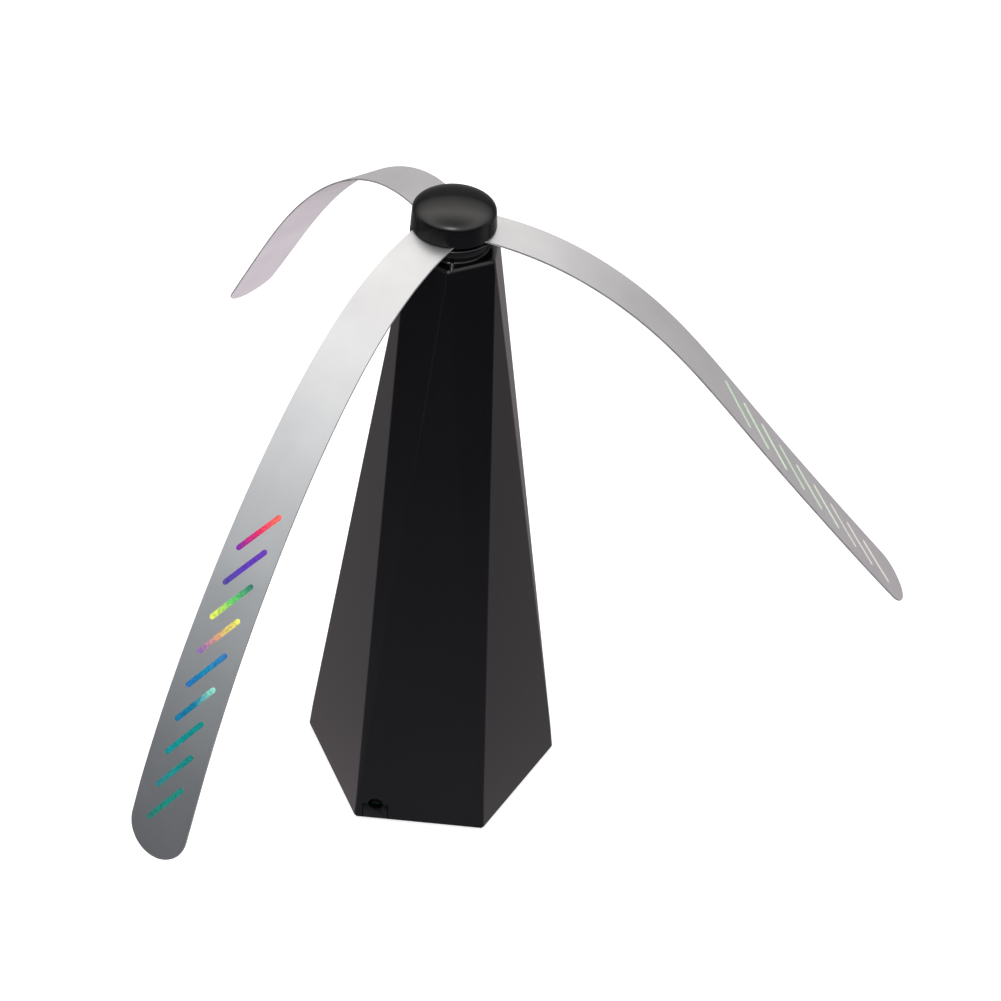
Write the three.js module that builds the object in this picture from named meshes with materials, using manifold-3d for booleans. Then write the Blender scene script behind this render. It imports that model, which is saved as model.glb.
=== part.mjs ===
// Table-top fly-repelling fan: a faceted tower with a geared motor inside, and a
// hub on top that carries three flexible drooping blades.
// Millimetres, +Z up. The origin is on the tower's axis, on the flat underside.
import * as THREE from 'three';
import { ConvexGeometry } from 'three/addons/geometries/ConvexGeometry.js';
import { mergeVertices } from 'three/addons/utils/BufferGeometryUtils.js';
import Module from 'manifold-3d';

const wasm = await Module();
wasm.setup();

// ---------- driving dimensions ----------
const GAP = 0.3;               // clearance between neighbouring solids
const RUNNING = 0.09;          // radial clearance of a shaft in its bearing

const BASE_R = 50;             // hexagonal foot of the tower, centre to corner
const TOP_R = 15.6;            // hexagonal top, turned by half a side
const TOWER_H = 239;
const WALL = 2;
const INNER_BASE_R = 47.6;     // the hollow, kept WALL inside every facet
const INNER_TOP_R = 13.55;
const COS30 = Math.cos(Math.PI / 6);
const APOTHEM = BASE_R * COS30;
const FACET_TILT = Math.atan((APOTHEM - TOP_R) / TOWER_H);

const COVER_R = 46.88;
const COVER_T = 2.5;
const FEET = { circle: 40, angles: [0, 120, 240], r: 4.5, drop: 1, seat: 0.6, recess: 0.9 };
const SCREWS = { circle: 37.5, angles: [60, 180, 300], post: 3.2, hole: 1.6, top: 16 };

const SEAM = 0.2;              // gap all round the jack tab
const JACK_X = -17.1;
const JACK_Z = 7.8;
const TAB_TOP = JACK_Z / Math.cos(FACET_TILT) - SEAM;
const JACK_TAB_W = 9.4;          // the tab is square-topped and ends level with the hole
const JACK_HOLE_R = 2.88;
const JACK_BORE_R = 2.75;
const JACK = { front: -39.4, back: -27.4, bottom: 4.4, top: 12.2, half: 4.3 };

const CELL_R = 7.1;
const CELL_BODY_L = 49;
const CELL_NUB_L = 1.4;
const CELL_Z = 4.6;
const CELL_X = 7.6;
const WELL_Y = 16;
const WELL = { halfX: 15.3, halfY: 7.9, top: 60, wall: 1.5 };
const DOOR = { halfX: 17, front: 6.5, hinge: 27.5, thick: 1.6, axisZ: 1.5, knuckleR: 1.3 };

const SWITCH_Y = -16;
const SWITCH_TRAVEL = 4;

const GEAR_MODULE = 0.4;
const PINION_TEETH = 10;
const WHEEL_TEETH = 32;
const LAY_X = GEAR_MODULE * (PINION_TEETH + WHEEL_TEETH) / 2;
const BOX_Z = 173;             // underside of the gearbox floor
const BOX_R = 17.2;
const BOX_TOP = 185.6;
const BOX_LID_TOP = 188.4;
const FIX_Y = 13.5;            // gearbox screws, either side of the axis
const FIX_HOLE_R = 1.35;
const MOTOR = { bottom: 149, top: 172.6, halfX: 10, halfY: 7.5, wall: 0.8 };
const SHAFT_R = 2;
const SHAFT_BOTTOM = 180.4;
const SHAFT_TOP = 249.5;

const COLLAR = { r: 11.1, top: 241.2, floor: 240, room: 9.4, bore: 5.2 };
const DISC = { r: 13.2, bottom: 241.7, top: 244.6, rim: 244.3, bossR: 4.2, bossTop: 250.4 };
const PEG = { circle: 8.2, r: 1.2, top: 247 };
const BLADE_Z = 245.2;
const BLADE_T = 0.6;
const BLADE_L = 207.5;           // from the rim of the hub to the tip
const BLADE_ROOT_R = 5.5;
const BLADE_FREE_R = 11;       // outside this radius the blade hangs freely
const BLADE_W = { root: 15, full: 21.4, fullAt: 0.9 };
const TIP_ROUND = 10;
const BLADE_STEPS = 22;
const CAP = { r: 13.1, rim: 245.1, shoulderR: 12.7, shoulder: 250.7, top: 254.7, wall: 1.5 };

// Each soft blade hangs a little differently. Pitch angles are at 0, 20, 40, 70 and
// 100 % of its length, in degrees; sweep bends it sideways and bank rolls it.
const BLADES = [
  { azimuth: -121.7, pitch: [-8, -34.5, -45.5, -53, -61.5], sweep: [0.5, 8], bank: [-1, 6.5] },
  { azimuth: -1.7, pitch: [-8, -31.5, -46.5, -47.5, -46.5], sweep: [-3, 7], bank: [0, -2] },
  { azimuth: 118.3, pitch: [-8, -25.5, -39, -53, -56], sweep: [-1.5, 22], bank: [-3.5, -0.5] },
];
const PITCH_STATIONS = [0, 0.2, 0.4, 0.7, 1];

// ---------- materials ----------
const paint = (color, roughness, metalness) =>
  new THREE.MeshStandardMaterial({ color, roughness, metalness });
const M = {
  shell: paint(0x1c1a1e, 0.35, 0),
  hub: paint(0x19171a, 0.38, 0),
  blade: paint(0xc9c8cc, 0.4, 0),
  inner: paint(0x26262a, 0.6, 0),
  rubber: paint(0x17171a, 0.9, 0),
  screw: paint(0x8d9095, 0.35, 1),
  steel: paint(0xb4b7bb, 0.3, 1),
  brass: paint(0xb8923f, 0.35, 1),
  nickel: paint(0xc2c0b8, 0.3, 1),
  cell: paint(0x3b4048, 0.4, 0.3),
  board: paint(0x1f5a36, 0.55, 0),
  gear: paint(0xe6e2d6, 0.5, 0),
  endcap: paint(0xdedad0, 0.5, 0),
  magnet: paint(0x3a3a3c, 0.7, 0.4),
  red: paint(0xa01f1c, 0.5, 0),
  black: paint(0x151517, 0.5, 0),
};

// ---------- helpers ----------
const rad = THREE.MathUtils.degToRad;

function solid(geometry) {
  const bare = geometry.index ? geometry.toNonIndexed() : geometry.clone();
  bare.deleteAttribute('normal');
  bare.deleteAttribute('uv');
  const merged = mergeVertices(bare, 1e-5);
  return new wasm.Manifold(new wasm.Mesh({
    numProp: 3,
    vertProperties: new Float32Array(merged.attributes.position.array),
    triVerts: new Uint32Array(merged.index.array),
  }));
}

function geometryOf(manifold) {
  const mesh = manifold.getMesh();
  const geometry = new THREE.BufferGeometry();
  geometry.setAttribute('position', new THREE.BufferAttribute(mesh.vertProperties, 3));
  geometry.setIndex(new THREE.BufferAttribute(mesh.triVerts, 1));
  const flat = geometry.toNonIndexed();
  flat.computeVertexNormals();
  return flat;
}

// Joins and cuts a body: every entry of add is joined, then every entry of cut removed.
function shape(add, cut = []) {
  const whole = add.map(solid).reduce((a, b) => a.add(b));
  return geometryOf(cut.map(solid).reduce((a, b) => a.subtract(b), whole));
}

function clipped(geometry, limit) {
  return geometryOf(solid(geometry).intersect(solid(limit)));
}

const model = new THREE.Group();

function place(name, geometry, material, parent = model) {
  const mesh = new THREE.Mesh(geometry, material);
  mesh.name = name;
  parent.add(mesh);
  return mesh;
}

function box(x0, x1, y0, y1, z0, z1) {
  const geometry = new THREE.BoxGeometry(x1 - x0, y1 - y0, z1 - z0);
  return geometry.translate((x0 + x1) / 2, (y0 + y1) / 2, (z0 + z1) / 2);
}

function rod(r, z0, z1, x = 0, y = 0, sides = 24) {
  const geometry = new THREE.CylinderGeometry(r, r, z1 - z0, sides);
  return geometry.rotateX(Math.PI / 2).translate(x, y, (z0 + z1) / 2);
}

// A body of revolution from [radius, z] points that start and end on the axis or close.
function turned(points, sides = 24) {
  const profile = points.map(([r, z]) => new THREE.Vector2(r, z));
  return new THREE.LatheGeometry(profile, sides).rotateX(Math.PI / 2);
}

function ring(rIn, rOut, z0, z1, sides = 24) {
  return turned([[rIn, z0], [rOut, z0], [rOut, z1], [rIn, z1], [rIn, z0]], sides);
}

function onCircle(r, degrees) {
  return [r * Math.cos(rad(degrees)), r * Math.sin(rad(degrees))];
}

function extruded(outline, z0, z1, holes = []) {
  const flat = new THREE.Shape(outline);
  flat.holes = holes.map((hole) => new THREE.Path(hole));
  const geometry = new THREE.ExtrudeGeometry(flat, { depth: z1 - z0, bevelEnabled: false });
  return geometry.translate(0, 0, z0);
}

function circleOutline(r, sides = 24, x = 0, y = 0) {
  return Array.from({ length: sides }, (_, i) => {
    const a = (i / sides) * 2 * Math.PI;
    return new THREE.Vector2(x + r * Math.cos(a), y + r * Math.sin(a));
  });
}

// Hexagon below and hexagon above, half a side apart: twelve flat triangles between.
function antiprism(r0, z0, r1, z1) {
  const corners = [];
  for (let i = 0; i < 6; i += 1) {
    const [x0, y0] = onCircle(r0, 60 * i);
    const [x1, y1] = onCircle(r1, 60 * i + 30);
    corners.push(new THREE.Vector3(x0, y0, z0), new THREE.Vector3(x1, y1, z1));
  }
  return new ConvexGeometry(corners);
}

function hexPlate(r, z0, z1) {
  return rod(r, z0, z1, 0, 0, 6).rotateZ(Math.PI / 6);
}

// ---------- tower shell ----------
const outerTower = () => antiprism(BASE_R, 0, TOP_R, TOWER_H);

// Puts a geometry drawn in the facet's own plane, with z outwards, on the front facet.
function onFrontFacet(geometry) {
  const up = new THREE.Vector3(0, Math.sin(FACET_TILT), Math.cos(FACET_TILT));
  const out = new THREE.Vector3(0, -Math.cos(FACET_TILT), Math.sin(FACET_TILT));
  const basis = new THREE.Matrix4().makeBasis(new THREE.Vector3(1, 0, 0), up, out);
  basis.setPosition(JACK_X, -APOTHEM, 0);
  return geometry.applyMatrix4(basis);
}

function facetSlab(width, top, inner, outer) {
  return onFrontFacet(box(-width / 2, width / 2, -1, top, inner, outer));
}

// A screw post with a rib that ties it to the nearest corner of the shell.
function screwPost(degrees) {
  const [x, y] = onCircle(SCREWS.circle, degrees);
  const rib = box(SCREWS.circle + 1, BASE_R, -1, 1, COVER_T + GAP, SCREWS.top);
  return [rod(SCREWS.post, COVER_T + GAP, SCREWS.top, x, y, 16), rib.rotateZ(rad(degrees))];
}

// Two long posts under the top plate, for the screws that hold the gearbox up.
function gearboxPosts() {
  return [-FIX_Y, FIX_Y].map((y) => rod(2.5, BOX_LID_TOP + GAP, TOWER_H - 1, 0, y, 12));
}

function towerShell() {
  const cavity = antiprism(INNER_BASE_R + 0.13, -1, INNER_TOP_R, TOWER_H - WALL);
  const skin = solid(outerTower()).subtract(solid(cavity));
  const posts = [...SCREWS.angles.flatMap(screwPost), ...gearboxPosts()];
  const insides = solid(shape(posts)).intersect(solid(outerTower()));
  const frontRib = box(0.35, 1.45, -15, -COLLAR.r + 0.3, TOWER_H - 1, TOWER_H + 0.5);
  const collar = shape([rod(COLLAR.r, TOWER_H - 1, COLLAR.top, 0, 0, 40), frontRib]);
  const cuts = [
    rod(COLLAR.bore, 230, COLLAR.top + 1, 0, 0, 32),
    rod(COLLAR.room, COLLAR.floor, COLLAR.top + 1, 0, 0, 32),
    facetSlab(JACK_TAB_W + 2 * SEAM, TAB_TOP + SEAM, -6, 3),
    jackHoleAlongY(),
    ...SCREWS.angles.map((angle) => rod(SCREWS.hole, 0, 13, ...onCircle(SCREWS.circle, angle), 12)),
    ...[-FIX_Y, FIX_Y].map((y) => rod(FIX_HOLE_R, 180, 201, 0, y, 12)),
  ];
  const joined = skin.add(insides).add(solid(collar));
  return geometryOf(cuts.map(solid).reduce((a, b) => a.subtract(b), joined));
}

// ---------- underside ----------
function bottomCover() {
  const wellOut = box(-WELL.halfX - WELL.wall, WELL.halfX + WELL.wall,
    WELL_Y - WELL.halfY - WELL.wall, WELL_Y + WELL.halfY + WELL.wall, 1, WELL.top);
  const wellIn = box(-WELL.halfX, WELL.halfX, WELL_Y - WELL.halfY, WELL_Y + WELL.halfY,
    -1, WELL.top - WELL.wall);
  const bridge = box(JACK_X - 4.2, JACK_X + 4.2, -43.2, JACK.front - 0.1, 0, COVER_T);
  const tab = facetSlab(JACK_TAB_W, TAB_TOP, -1.9, 0);
  const add = [hexPlate(COVER_R, 0, COVER_T), wellOut, bridge, tab];
  const recess = box(-DOOR.halfX - GAP, DOOR.halfX + GAP, DOOR.front - GAP, 29.8, -1, 1.9);
  const slot = box(-8.4, 8.4, 26, 29.8, -1, COVER_T + 1);
  const pinHole = rod(0.9, -12, 12, 0, 0, 12).rotateY(Math.PI / 2)
    .translate(0, DOOR.hinge, DOOR.axisZ);
  const cut = [wellIn, recess, slot, pinHole, jackHoleAlongY()];
  cut.push(box(-4.6, 4.6, SWITCH_Y - 1.8, SWITCH_Y + 1.8, -1, COVER_T + 1));
  for (const x of [-CELL_X, CELL_X]) {
    cut.push(box(x - 1.6, x + 1.6, WELL_Y - 0.6, WELL_Y + 0.6, 50, WELL.top + 1));
  }
  for (const angle of FEET.angles) {
    cut.push(rod(FEET.r + GAP, -1, FEET.recess, ...onCircle(FEET.circle, angle), 20));
  }
  for (const angle of SCREWS.angles) {
    const [x, y] = onCircle(SCREWS.circle, angle);
    cut.push(rod(2.9, -1, 1.6, x, y, 16));
    cut.push(rod(SCREWS.hole, -1, COVER_T + 1, x, y, 12));
  }
  return clipped(shape(add, cut), outerTower());
}

function alongY(r, y0, y1, sides) {
  return new THREE.CylinderGeometry(r, r, y1 - y0, sides).translate(JACK_X, (y0 + y1) / 2, JACK_Z);
}

function jackHoleAlongY() {
  return alongY(JACK_HOLE_R, -50, -38, 24);
}

// A screw that points up: flat head below, plain shank with a point at the top.
function screwShape(head, shank) {
  return turned([[0, head.z0], [head.r, head.z0], [head.r, head.z1], [shank.r, head.z1],
    [shank.r, shank.top - 1], [0, shank.top]], 16);
}

function addFeetAndScrews() {
  FEET.angles.forEach((angle, i) => {
    const pad = rod(FEET.r, -FEET.drop, FEET.seat, ...onCircle(FEET.circle, angle), 20);
    place(`foot_pad_${i + 1}`, pad, M.rubber);
  });
  SCREWS.angles.forEach((angle, i) => {
    const [x, y] = onCircle(SCREWS.circle, angle);
    const screw = screwShape({ r: 2.5, z0: 0.2, z1: 1.3 }, { r: 1.25, top: 12 });
    place(`cover_screw_${i + 1}`, screw.translate(x, y, 0), M.screw);
  });
}

// ---------- battery door and cells ----------
function batteryDoor() {
  const plate = box(-DOOR.halfX, DOOR.halfX, DOOR.front, 25.5, 0, DOOR.thick);
  const arm = box(-7, 7, 25, DOOR.hinge, 0.3, DOOR.thick);
  const knuckle = alongX(DOOR.knuckleR, -8, 8, DOOR.hinge, DOOR.axisZ, 16);
  const bore = alongX(0.9, -9, 9, DOOR.hinge, DOOR.axisZ, 12);
  return shape([plate, arm, knuckle], [bore]);
}

function alongX(r, x0, x1, y, z, sides) {
  const geometry = new THREE.CylinderGeometry(r, r, x1 - x0, sides).rotateZ(Math.PI / 2);
  return geometry.translate((x0 + x1) / 2, y, z);
}

function cell(x, nubUp) {
  const nubR = 2.7;
  const points = [[0, 0], [CELL_R - 0.4, 0], [CELL_R, 0.4], [CELL_R, CELL_BODY_L - 0.4],
    [CELL_R - 0.4, CELL_BODY_L], [nubR, CELL_BODY_L], [nubR, CELL_BODY_L + CELL_NUB_L],
    [0, CELL_BODY_L + CELL_NUB_L]];
  const length = CELL_BODY_L + CELL_NUB_L;
  const geometry = turned(points, 24);
  if (!nubUp) {
    geometry.rotateX(Math.PI).translate(0, 0, length);
  }
  return geometry.translate(x, WELL_Y, CELL_Z);
}

class Coil extends THREE.Curve {
  constructor(turns, r0, r1, height) {
    super();
    Object.assign(this, { turns, r0, r1, height });
  }
  getPoint(t, target = new THREE.Vector3()) {
    const a = 2 * Math.PI * this.turns * t;
    const r = THREE.MathUtils.lerp(this.r0, this.r1, t);
    return target.set(r * Math.cos(a), r * Math.sin(a), this.height * t);
  }
}

function tube(curve, r, steps, sides) {
  const section = new THREE.Shape(circleOutline(r, sides));
  return new THREE.ExtrudeGeometry(section, { steps, extrudePath: curve, bevelEnabled: false });
}

function addPower() {
  place('battery_door', batteryDoor(), M.shell);
  place('door_hinge_pin', alongX(0.6, -10.5, 10.5, DOOR.hinge, DOOR.axisZ, 10), M.steel);
  place('bridge_contact', box(-11.5, 11.5, WELL_Y - 3, WELL_Y + 3, 1.9, 2.3), M.nickel);
  place('bridge_spring', tube(new Coil(2.5, 3, 2.2, 1.3), 0.25, 30, 6)
    .translate(-CELL_X, WELL_Y, 2.9), M.nickel);
  place('cell_1', cell(-CELL_X, true), M.cell);
  place('cell_2', cell(CELL_X, false), M.cell);
  const cellTop = CELL_Z + CELL_BODY_L + CELL_NUB_L;
  for (const [name, x] of [['contact_plus', -CELL_X], ['contact_minus', CELL_X]]) {
    const plate = box(x - 5, x + 5, WELL_Y - 4, WELL_Y + 4, 57.6, 58.1);
    const tail = box(x - 1.2, x + 1.2, WELL_Y - 0.25, WELL_Y + 0.25, 58, 63);
    place(name, shape([plate, tail]), M.nickel);
  }
  place('minus_spring', tube(new Coil(3, 2.2, 3.4, 1.4), 0.25, 36, 6)
    .translate(CELL_X, WELL_Y, cellTop + 0.6), M.nickel);
}

function addJackAndBoard() {
  const body = box(JACK_X - JACK.half, JACK_X + JACK.half, JACK.front, JACK.back, JACK.bottom, JACK.top);
  const bore = alongY(JACK_BORE_R, JACK.front - 1, -30.4, 20);
  const back = alongY(1.15, -31, JACK.back + 1, 12);
  place('dc_jack', shape([body], [bore, back]), M.black);
  place('dc_jack_pin', alongY(0.85, -38, -27, 12), M.nickel);
  place('circuit_board', box(-22.4, -5, -39.2, -23, 2.9, 4.1), M.board);
}

function addSwitch() {
  const body = box(-6.5, 6.5, SWITCH_Y - 3, SWITCH_Y + 3, COVER_T + GAP, 8);
  const slot = box(-4.6, 4.6, SWITCH_Y - 1.8, SWITCH_Y + 1.8, 2, 5.4);
  place('switch_body', shape([body], [slot]), M.black);
  const x0 = -SWITCH_TRAVEL / 2;
  const knob = box(x0 - 2, x0 + 2, SWITCH_Y - 1.4, SWITCH_Y + 1.4, 0.4, 4.9);
  place('switch_knob', knob, M.inner);
}

// ---------- motor ----------
// Round can with two flats: the shape of a small brushed motor.
function canOutline(halfX, halfY) {
  const a = Math.asin(halfY / halfX);
  const outline = new THREE.Shape();
  outline.absarc(0, 0, halfX, -a, a, false);
  outline.absarc(0, 0, halfX, Math.PI - a, Math.PI + a, false);
  outline.closePath();
  return outline;
}

function canPrism(inset, z0, z1) {
  const outline = canOutline(MOTOR.halfX - inset, MOTOR.halfY - inset);
  const options = { depth: z1 - z0, bevelEnabled: false, curveSegments: 8 };
  return new THREE.ExtrudeGeometry(outline, options).translate(0, 0, z0);
}

function magnet(side) {
  const outer = 8.9;
  const inner = 6.7;
  const half = rad(40);
  const outline = new THREE.Shape();
  outline.absarc(0, 0, outer, -half, half, false);
  outline.absarc(0, 0, inner, half, -half, true);
  outline.closePath();
  const options = { depth: 15, bevelEnabled: false, curveSegments: 8 };
  const arc = new THREE.ExtrudeGeometry(outline, options).translate(0, 0, 152.5);
  return side > 0 ? arc : arc.rotateZ(Math.PI);
}

// Three-pole iron core with its windings between the poles.
function armature() {
  const outline = [];
  const poleHalf = 48;
  const waist = 3.8;
  const rim = 6.3;
  for (let k = 0; k < 3; k += 1) {
    for (const offset of [-poleHalf, -24, 0, 24, poleHalf]) {
      outline.push(new THREE.Vector2(...onCircle(rim, 120 * k + offset)));
    }
    outline.push(new THREE.Vector2(...onCircle(waist, 120 * k + 60)));
  }
  return extruded(outline, 153, 167.5, [circleOutline(1 + GAP, 12)]);
}

function addMotor() {
  const nose = rod(3, MOTOR.top - 0.2, 174.4, 0, 0, 20);
  const hollow = canPrism(MOTOR.wall, MOTOR.bottom - 1, MOTOR.top - MOTOR.wall);
  const can = shape([canPrism(0, MOTOR.bottom, MOTOR.top), nose],
    [hollow, rod(1 + RUNNING, 170, 175, 0, 0, 20)]);
  place('motor_can', can, M.steel);
  const slots = [-6.4, 6.4].map((x) => box(x - 0.6, x + 0.6, -1.6, 1.6, 140, 150));
  const cap = shape([canPrism(MOTOR.wall + GAP, 146.4, 150.4), rod(3, 145, 147, 0, 0, 20)],
    [rod(1 + RUNNING, 144, 151, 0, 0, 20), ...slots]);
  place('motor_end_cap', cap, M.endcap);
  place('motor_terminal_1', box(-6.65, -6.15, -1.2, 1.2, 142, 150), M.brass);
  place('motor_terminal_2', box(6.15, 6.65, -1.2, 1.2, 142, 150), M.brass);
  place('field_magnet_1', magnet(1), M.magnet);
  place('field_magnet_2', magnet(-1), M.magnet);
  place('armature', armature(), M.brass);
  place('motor_shaft', rod(1, 145.4, 179.9, 0, 0, 20), M.steel);
}

// ---------- gears ----------
// One spur gear outline, with straight-sided teeth a little thinner than the space.
function gearOutline(teeth, turnDegrees) {
  const pitchR = GEAR_MODULE * teeth / 2;
  const tipR = pitchR + 0.85 * GEAR_MODULE;
  const rootR = pitchR - 1.2 * GEAR_MODULE;
  const pitchAngle = 2 * Math.PI / teeth;
  const widths = [[rootR, 0.3], [pitchR, 0.2], [tipR, 0.09]];
  const points = [];
  for (let i = 0; i < teeth; i += 1) {
    const centre = rad(turnDegrees) + i * pitchAngle;
    const flank = (side, list) => list.forEach(([r, share]) => {
      const a = centre + side * share * pitchAngle;
      points.push(new THREE.Vector2(r * Math.cos(a), r * Math.sin(a)));
    });
    flank(-1, widths);
    flank(1, [...widths].reverse());
  }
  return points;
}

function gear(teeth, z0, z1, boreR, turnDegrees) {
  return extruded(gearOutline(teeth, turnDegrees), z0, z1, [circleOutline(boreR, 20)]);
}

function addGears() {
  const halfTooth = 180 / WHEEL_TEETH;
  place('motor_pinion', gear(PINION_TEETH, 175.7, 179.6, 1 + GAP, 0), M.brass);
  const layBore = 0.8 + RUNNING;
  const wheel = gear(WHEEL_TEETH, 176.2, 179.2, layBore, halfTooth);
  const smallGear = gear(PINION_TEETH, 179.2, 184.4, layBore, 0);
  place('lay_gear', shape([wheel, smallGear]).translate(LAY_X, 0, 0), M.gear);
  place('lay_pin', rod(0.8, 173.4, 187, LAY_X, 0, 20), M.steel);
  place('output_gear', gear(WHEEL_TEETH, 180.8, 184, SHAFT_R + GAP, halfTooth), M.gear);
}

function addGearbox() {
  const pillars = [-FIX_Y, FIX_Y].map((y) => rod(2.7, BOX_Z, BOX_TOP, 0, y, 16));
  const skirtOut = extruded(canOutline(11.6, 9.1).getPoints(8), 160, BOX_Z + 0.5);
  const skirtIn = extruded(canOutline(10.3, 7.8).getPoints(8), 159, BOX_Z);
  const cup = rod(BOX_R, BOX_Z, BOX_TOP, 0, 0, 40);
  const room = rod(BOX_R - 1.2, BOX_Z + 2, BOX_TOP + 1, 0, 0, 40);
  const shellOfBox = geometryOf(solid(cup).subtract(solid(room)));
  const holes = [-FIX_Y, FIX_Y].map((y) => rod(FIX_HOLE_R, 170, 190, 0, y, 12));
  const base = shape([shellOfBox, ...pillars, skirtOut],
    [skirtIn, rod(3 + GAP, 172, 176, 0, 0, 24), rod(1.1, BOX_Z + 0.1, 176, LAY_X, 0, 20), ...holes]);
  place('gearbox_base', base, M.inner);
  const lid = shape([rod(BOX_R, BOX_TOP + GAP, BOX_LID_TOP, 0, 0, 40), rod(4.6, 188, 193, 0, 0, 24)],
    [rod(SHAFT_R + RUNNING, 180, 194, 0, 0, 24), rod(1.1, 185, 187.4, LAY_X, 0, 20), ...holes]);
  place('gearbox_lid', lid, M.inner);
  [-FIX_Y, FIX_Y].forEach((y, i) => {
    const screw = screwShape({ r: 2.2, z0: 171.2, z1: 172.6 }, { r: 1, top: 200 });
    place(`gearbox_screw_${i + 1}`, screw.translate(0, y, 0), M.screw);
  });
}

// ---------- output shaft and bearing ----------
function addShaft() {
  const shaft = shape([rod(SHAFT_R, SHAFT_BOTTOM, SHAFT_TOP, 0, 0, 24)],
    [rod(1.2, 244, SHAFT_TOP + 1, 0, 0, 12)]);
  place('output_shaft', shaft, M.steel);
  const flangeTop = COLLAR.floor + 0.9;
  const bush = shape([rod(COLLAR.bore - GAP, 233, flangeTop, 0, 0, 28),
    rod(6.4, COLLAR.floor + GAP, flangeTop, 0, 0, 28)], [rod(SHAFT_R + RUNNING, 232, 243, 0, 0, 24)]);
  place('top_bush', bush, M.brass);
  place('thrust_washer', ring(SHAFT_R + GAP, 4.5, flangeTop + GAP, flangeTop + 0.7, 24), M.nickel);
}

// ---------- hub and blades ----------
function hubDisc() {
  const { r, bottom, top, rim, bossR, bossTop } = DISC;
  const fillet = 0.5;
  const bore = SHAFT_R + GAP;
  const recess = bottom + 0.2;
  const profile = [[bore, recess], [5.4, recess], [5.8, bottom], [r - fillet, bottom],
    [r, bottom + fillet], [r, rim - fillet], [r - fillet, rim], [10.8, top], [bossR, top],
    [bossR, bossTop], [bore, bossTop], [bore, recess]];
  const pegs = BLADES.map(({ azimuth }) =>
    rod(PEG.r, top - 0.5, PEG.top, ...onCircle(PEG.circle, azimuth), 12));
  return shape([turned(profile, 48), ...pegs]);
}

// Quarter ellipse from the shoulder to the crown, as [radius, z] points.
function dome(r, shoulder, top) {
  const steps = 7;
  return Array.from({ length: steps + 1 }, (_, i) => {
    const a = (i / steps) * Math.PI / 2;
    return [i === steps ? 0 : r * Math.cos(a), shoulder + (top - shoulder) * Math.sin(a)];
  });
}

function hubCap() {
  const { r, rim, shoulderR, shoulder, top, wall } = CAP;
  const outer = [[0, rim], [r, rim], ...dome(shoulderR, shoulder, top)];
  const inner = [[0, rim - 1], [r - wall, rim - 1], ...dome(shoulderR - wall, shoulder - 0.6, top - wall)];
  const half = BLADE_W.root / 2 + 0.5;
  const notches = BLADES.map(({ azimuth }) =>
    box(4, 20, -half, half, rim - 1, BLADE_Z + BLADE_T / 2 + GAP).rotateZ(rad(azimuth)));
  return shape([turned(outer, 48)], [turned(inner, 48), ...notches]);
}

// Pitch angle at a share of the blade's length, eased between its stations.
function pitchAt(pitch, share) {
  const last = PITCH_STATIONS.length - 2;
  let i = 0;
  while (i < last && share > PITCH_STATIONS[i + 1]) {
    i += 1;
  }
  const span = PITCH_STATIONS[i + 1] - PITCH_STATIONS[i];
  const slope = (k) => {
    const a = Math.max(k - 1, 0);
    const b = Math.min(k + 1, last + 1);
    return (pitch[b] - pitch[a]) / (PITCH_STATIONS[b] - PITCH_STATIONS[a]);
  };
  const t = (share - PITCH_STATIONS[i]) / span;
  const h = [2 * t ** 3 - 3 * t ** 2 + 1, t ** 3 - 2 * t ** 2 + t, 3 * t ** 2 - 2 * t ** 3, t ** 3 - t ** 2];
  return h[0] * pitch[i] + h[1] * span * slope(i) + h[2] * pitch[i + 1] + h[3] * span * slope(i + 1);
}

// Frame of the blade at a share of its length: heading, sideways and upward directions.
function bladeFrame(blade, share) {
  const pitch = rad(pitchAt(blade.pitch, share));
  const sweep = rad(blade.sweep[0] + blade.sweep[1] * share);
  const bank = rad(THREE.MathUtils.lerp(blade.bank[0], blade.bank[1], share)) * Math.min(share / 0.1, 1);
  const along = new THREE.Vector3(Math.cos(pitch) * Math.cos(sweep),
    Math.cos(pitch) * Math.sin(sweep), Math.sin(pitch));
  const level = new THREE.Vector3(-Math.sin(sweep), Math.cos(sweep), 0);
  const up = new THREE.Vector3().crossVectors(along, level);
  const across = level.clone().multiplyScalar(Math.cos(bank)).addScaledVector(up, Math.sin(bank));
  return { along, across, normal: new THREE.Vector3().crossVectors(along, across) };
}

function bladeHalfWidth(s) {
  const share = Math.min(s / (BLADE_L * BLADE_W.fullAt), 1);
  const half = THREE.MathUtils.lerp(BLADE_W.root, BLADE_W.full, Math.max(share, 0)) / 2;
  const intoTip = Math.max(s - (BLADE_L - TIP_ROUND), 0) / TIP_ROUND;
  return half * Math.sqrt(1 - Math.min(intoTip, 0.985) ** 2);
}

// Distances from the free root along the strip: even steps, then finer round the tip.
function bladeStations() {
  const stations = [];
  const straight = BLADE_L - TIP_ROUND;
  for (let i = 0; i <= BLADE_STEPS; i += 1) {
    stations.push(straight * (i / BLADE_STEPS) ** 1.25);
  }
  for (const share of [0.3, 0.55, 0.75, 0.89, 0.97, 1]) {
    stations.push(straight + TIP_ROUND * share);
  }
  return stations;
}

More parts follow.
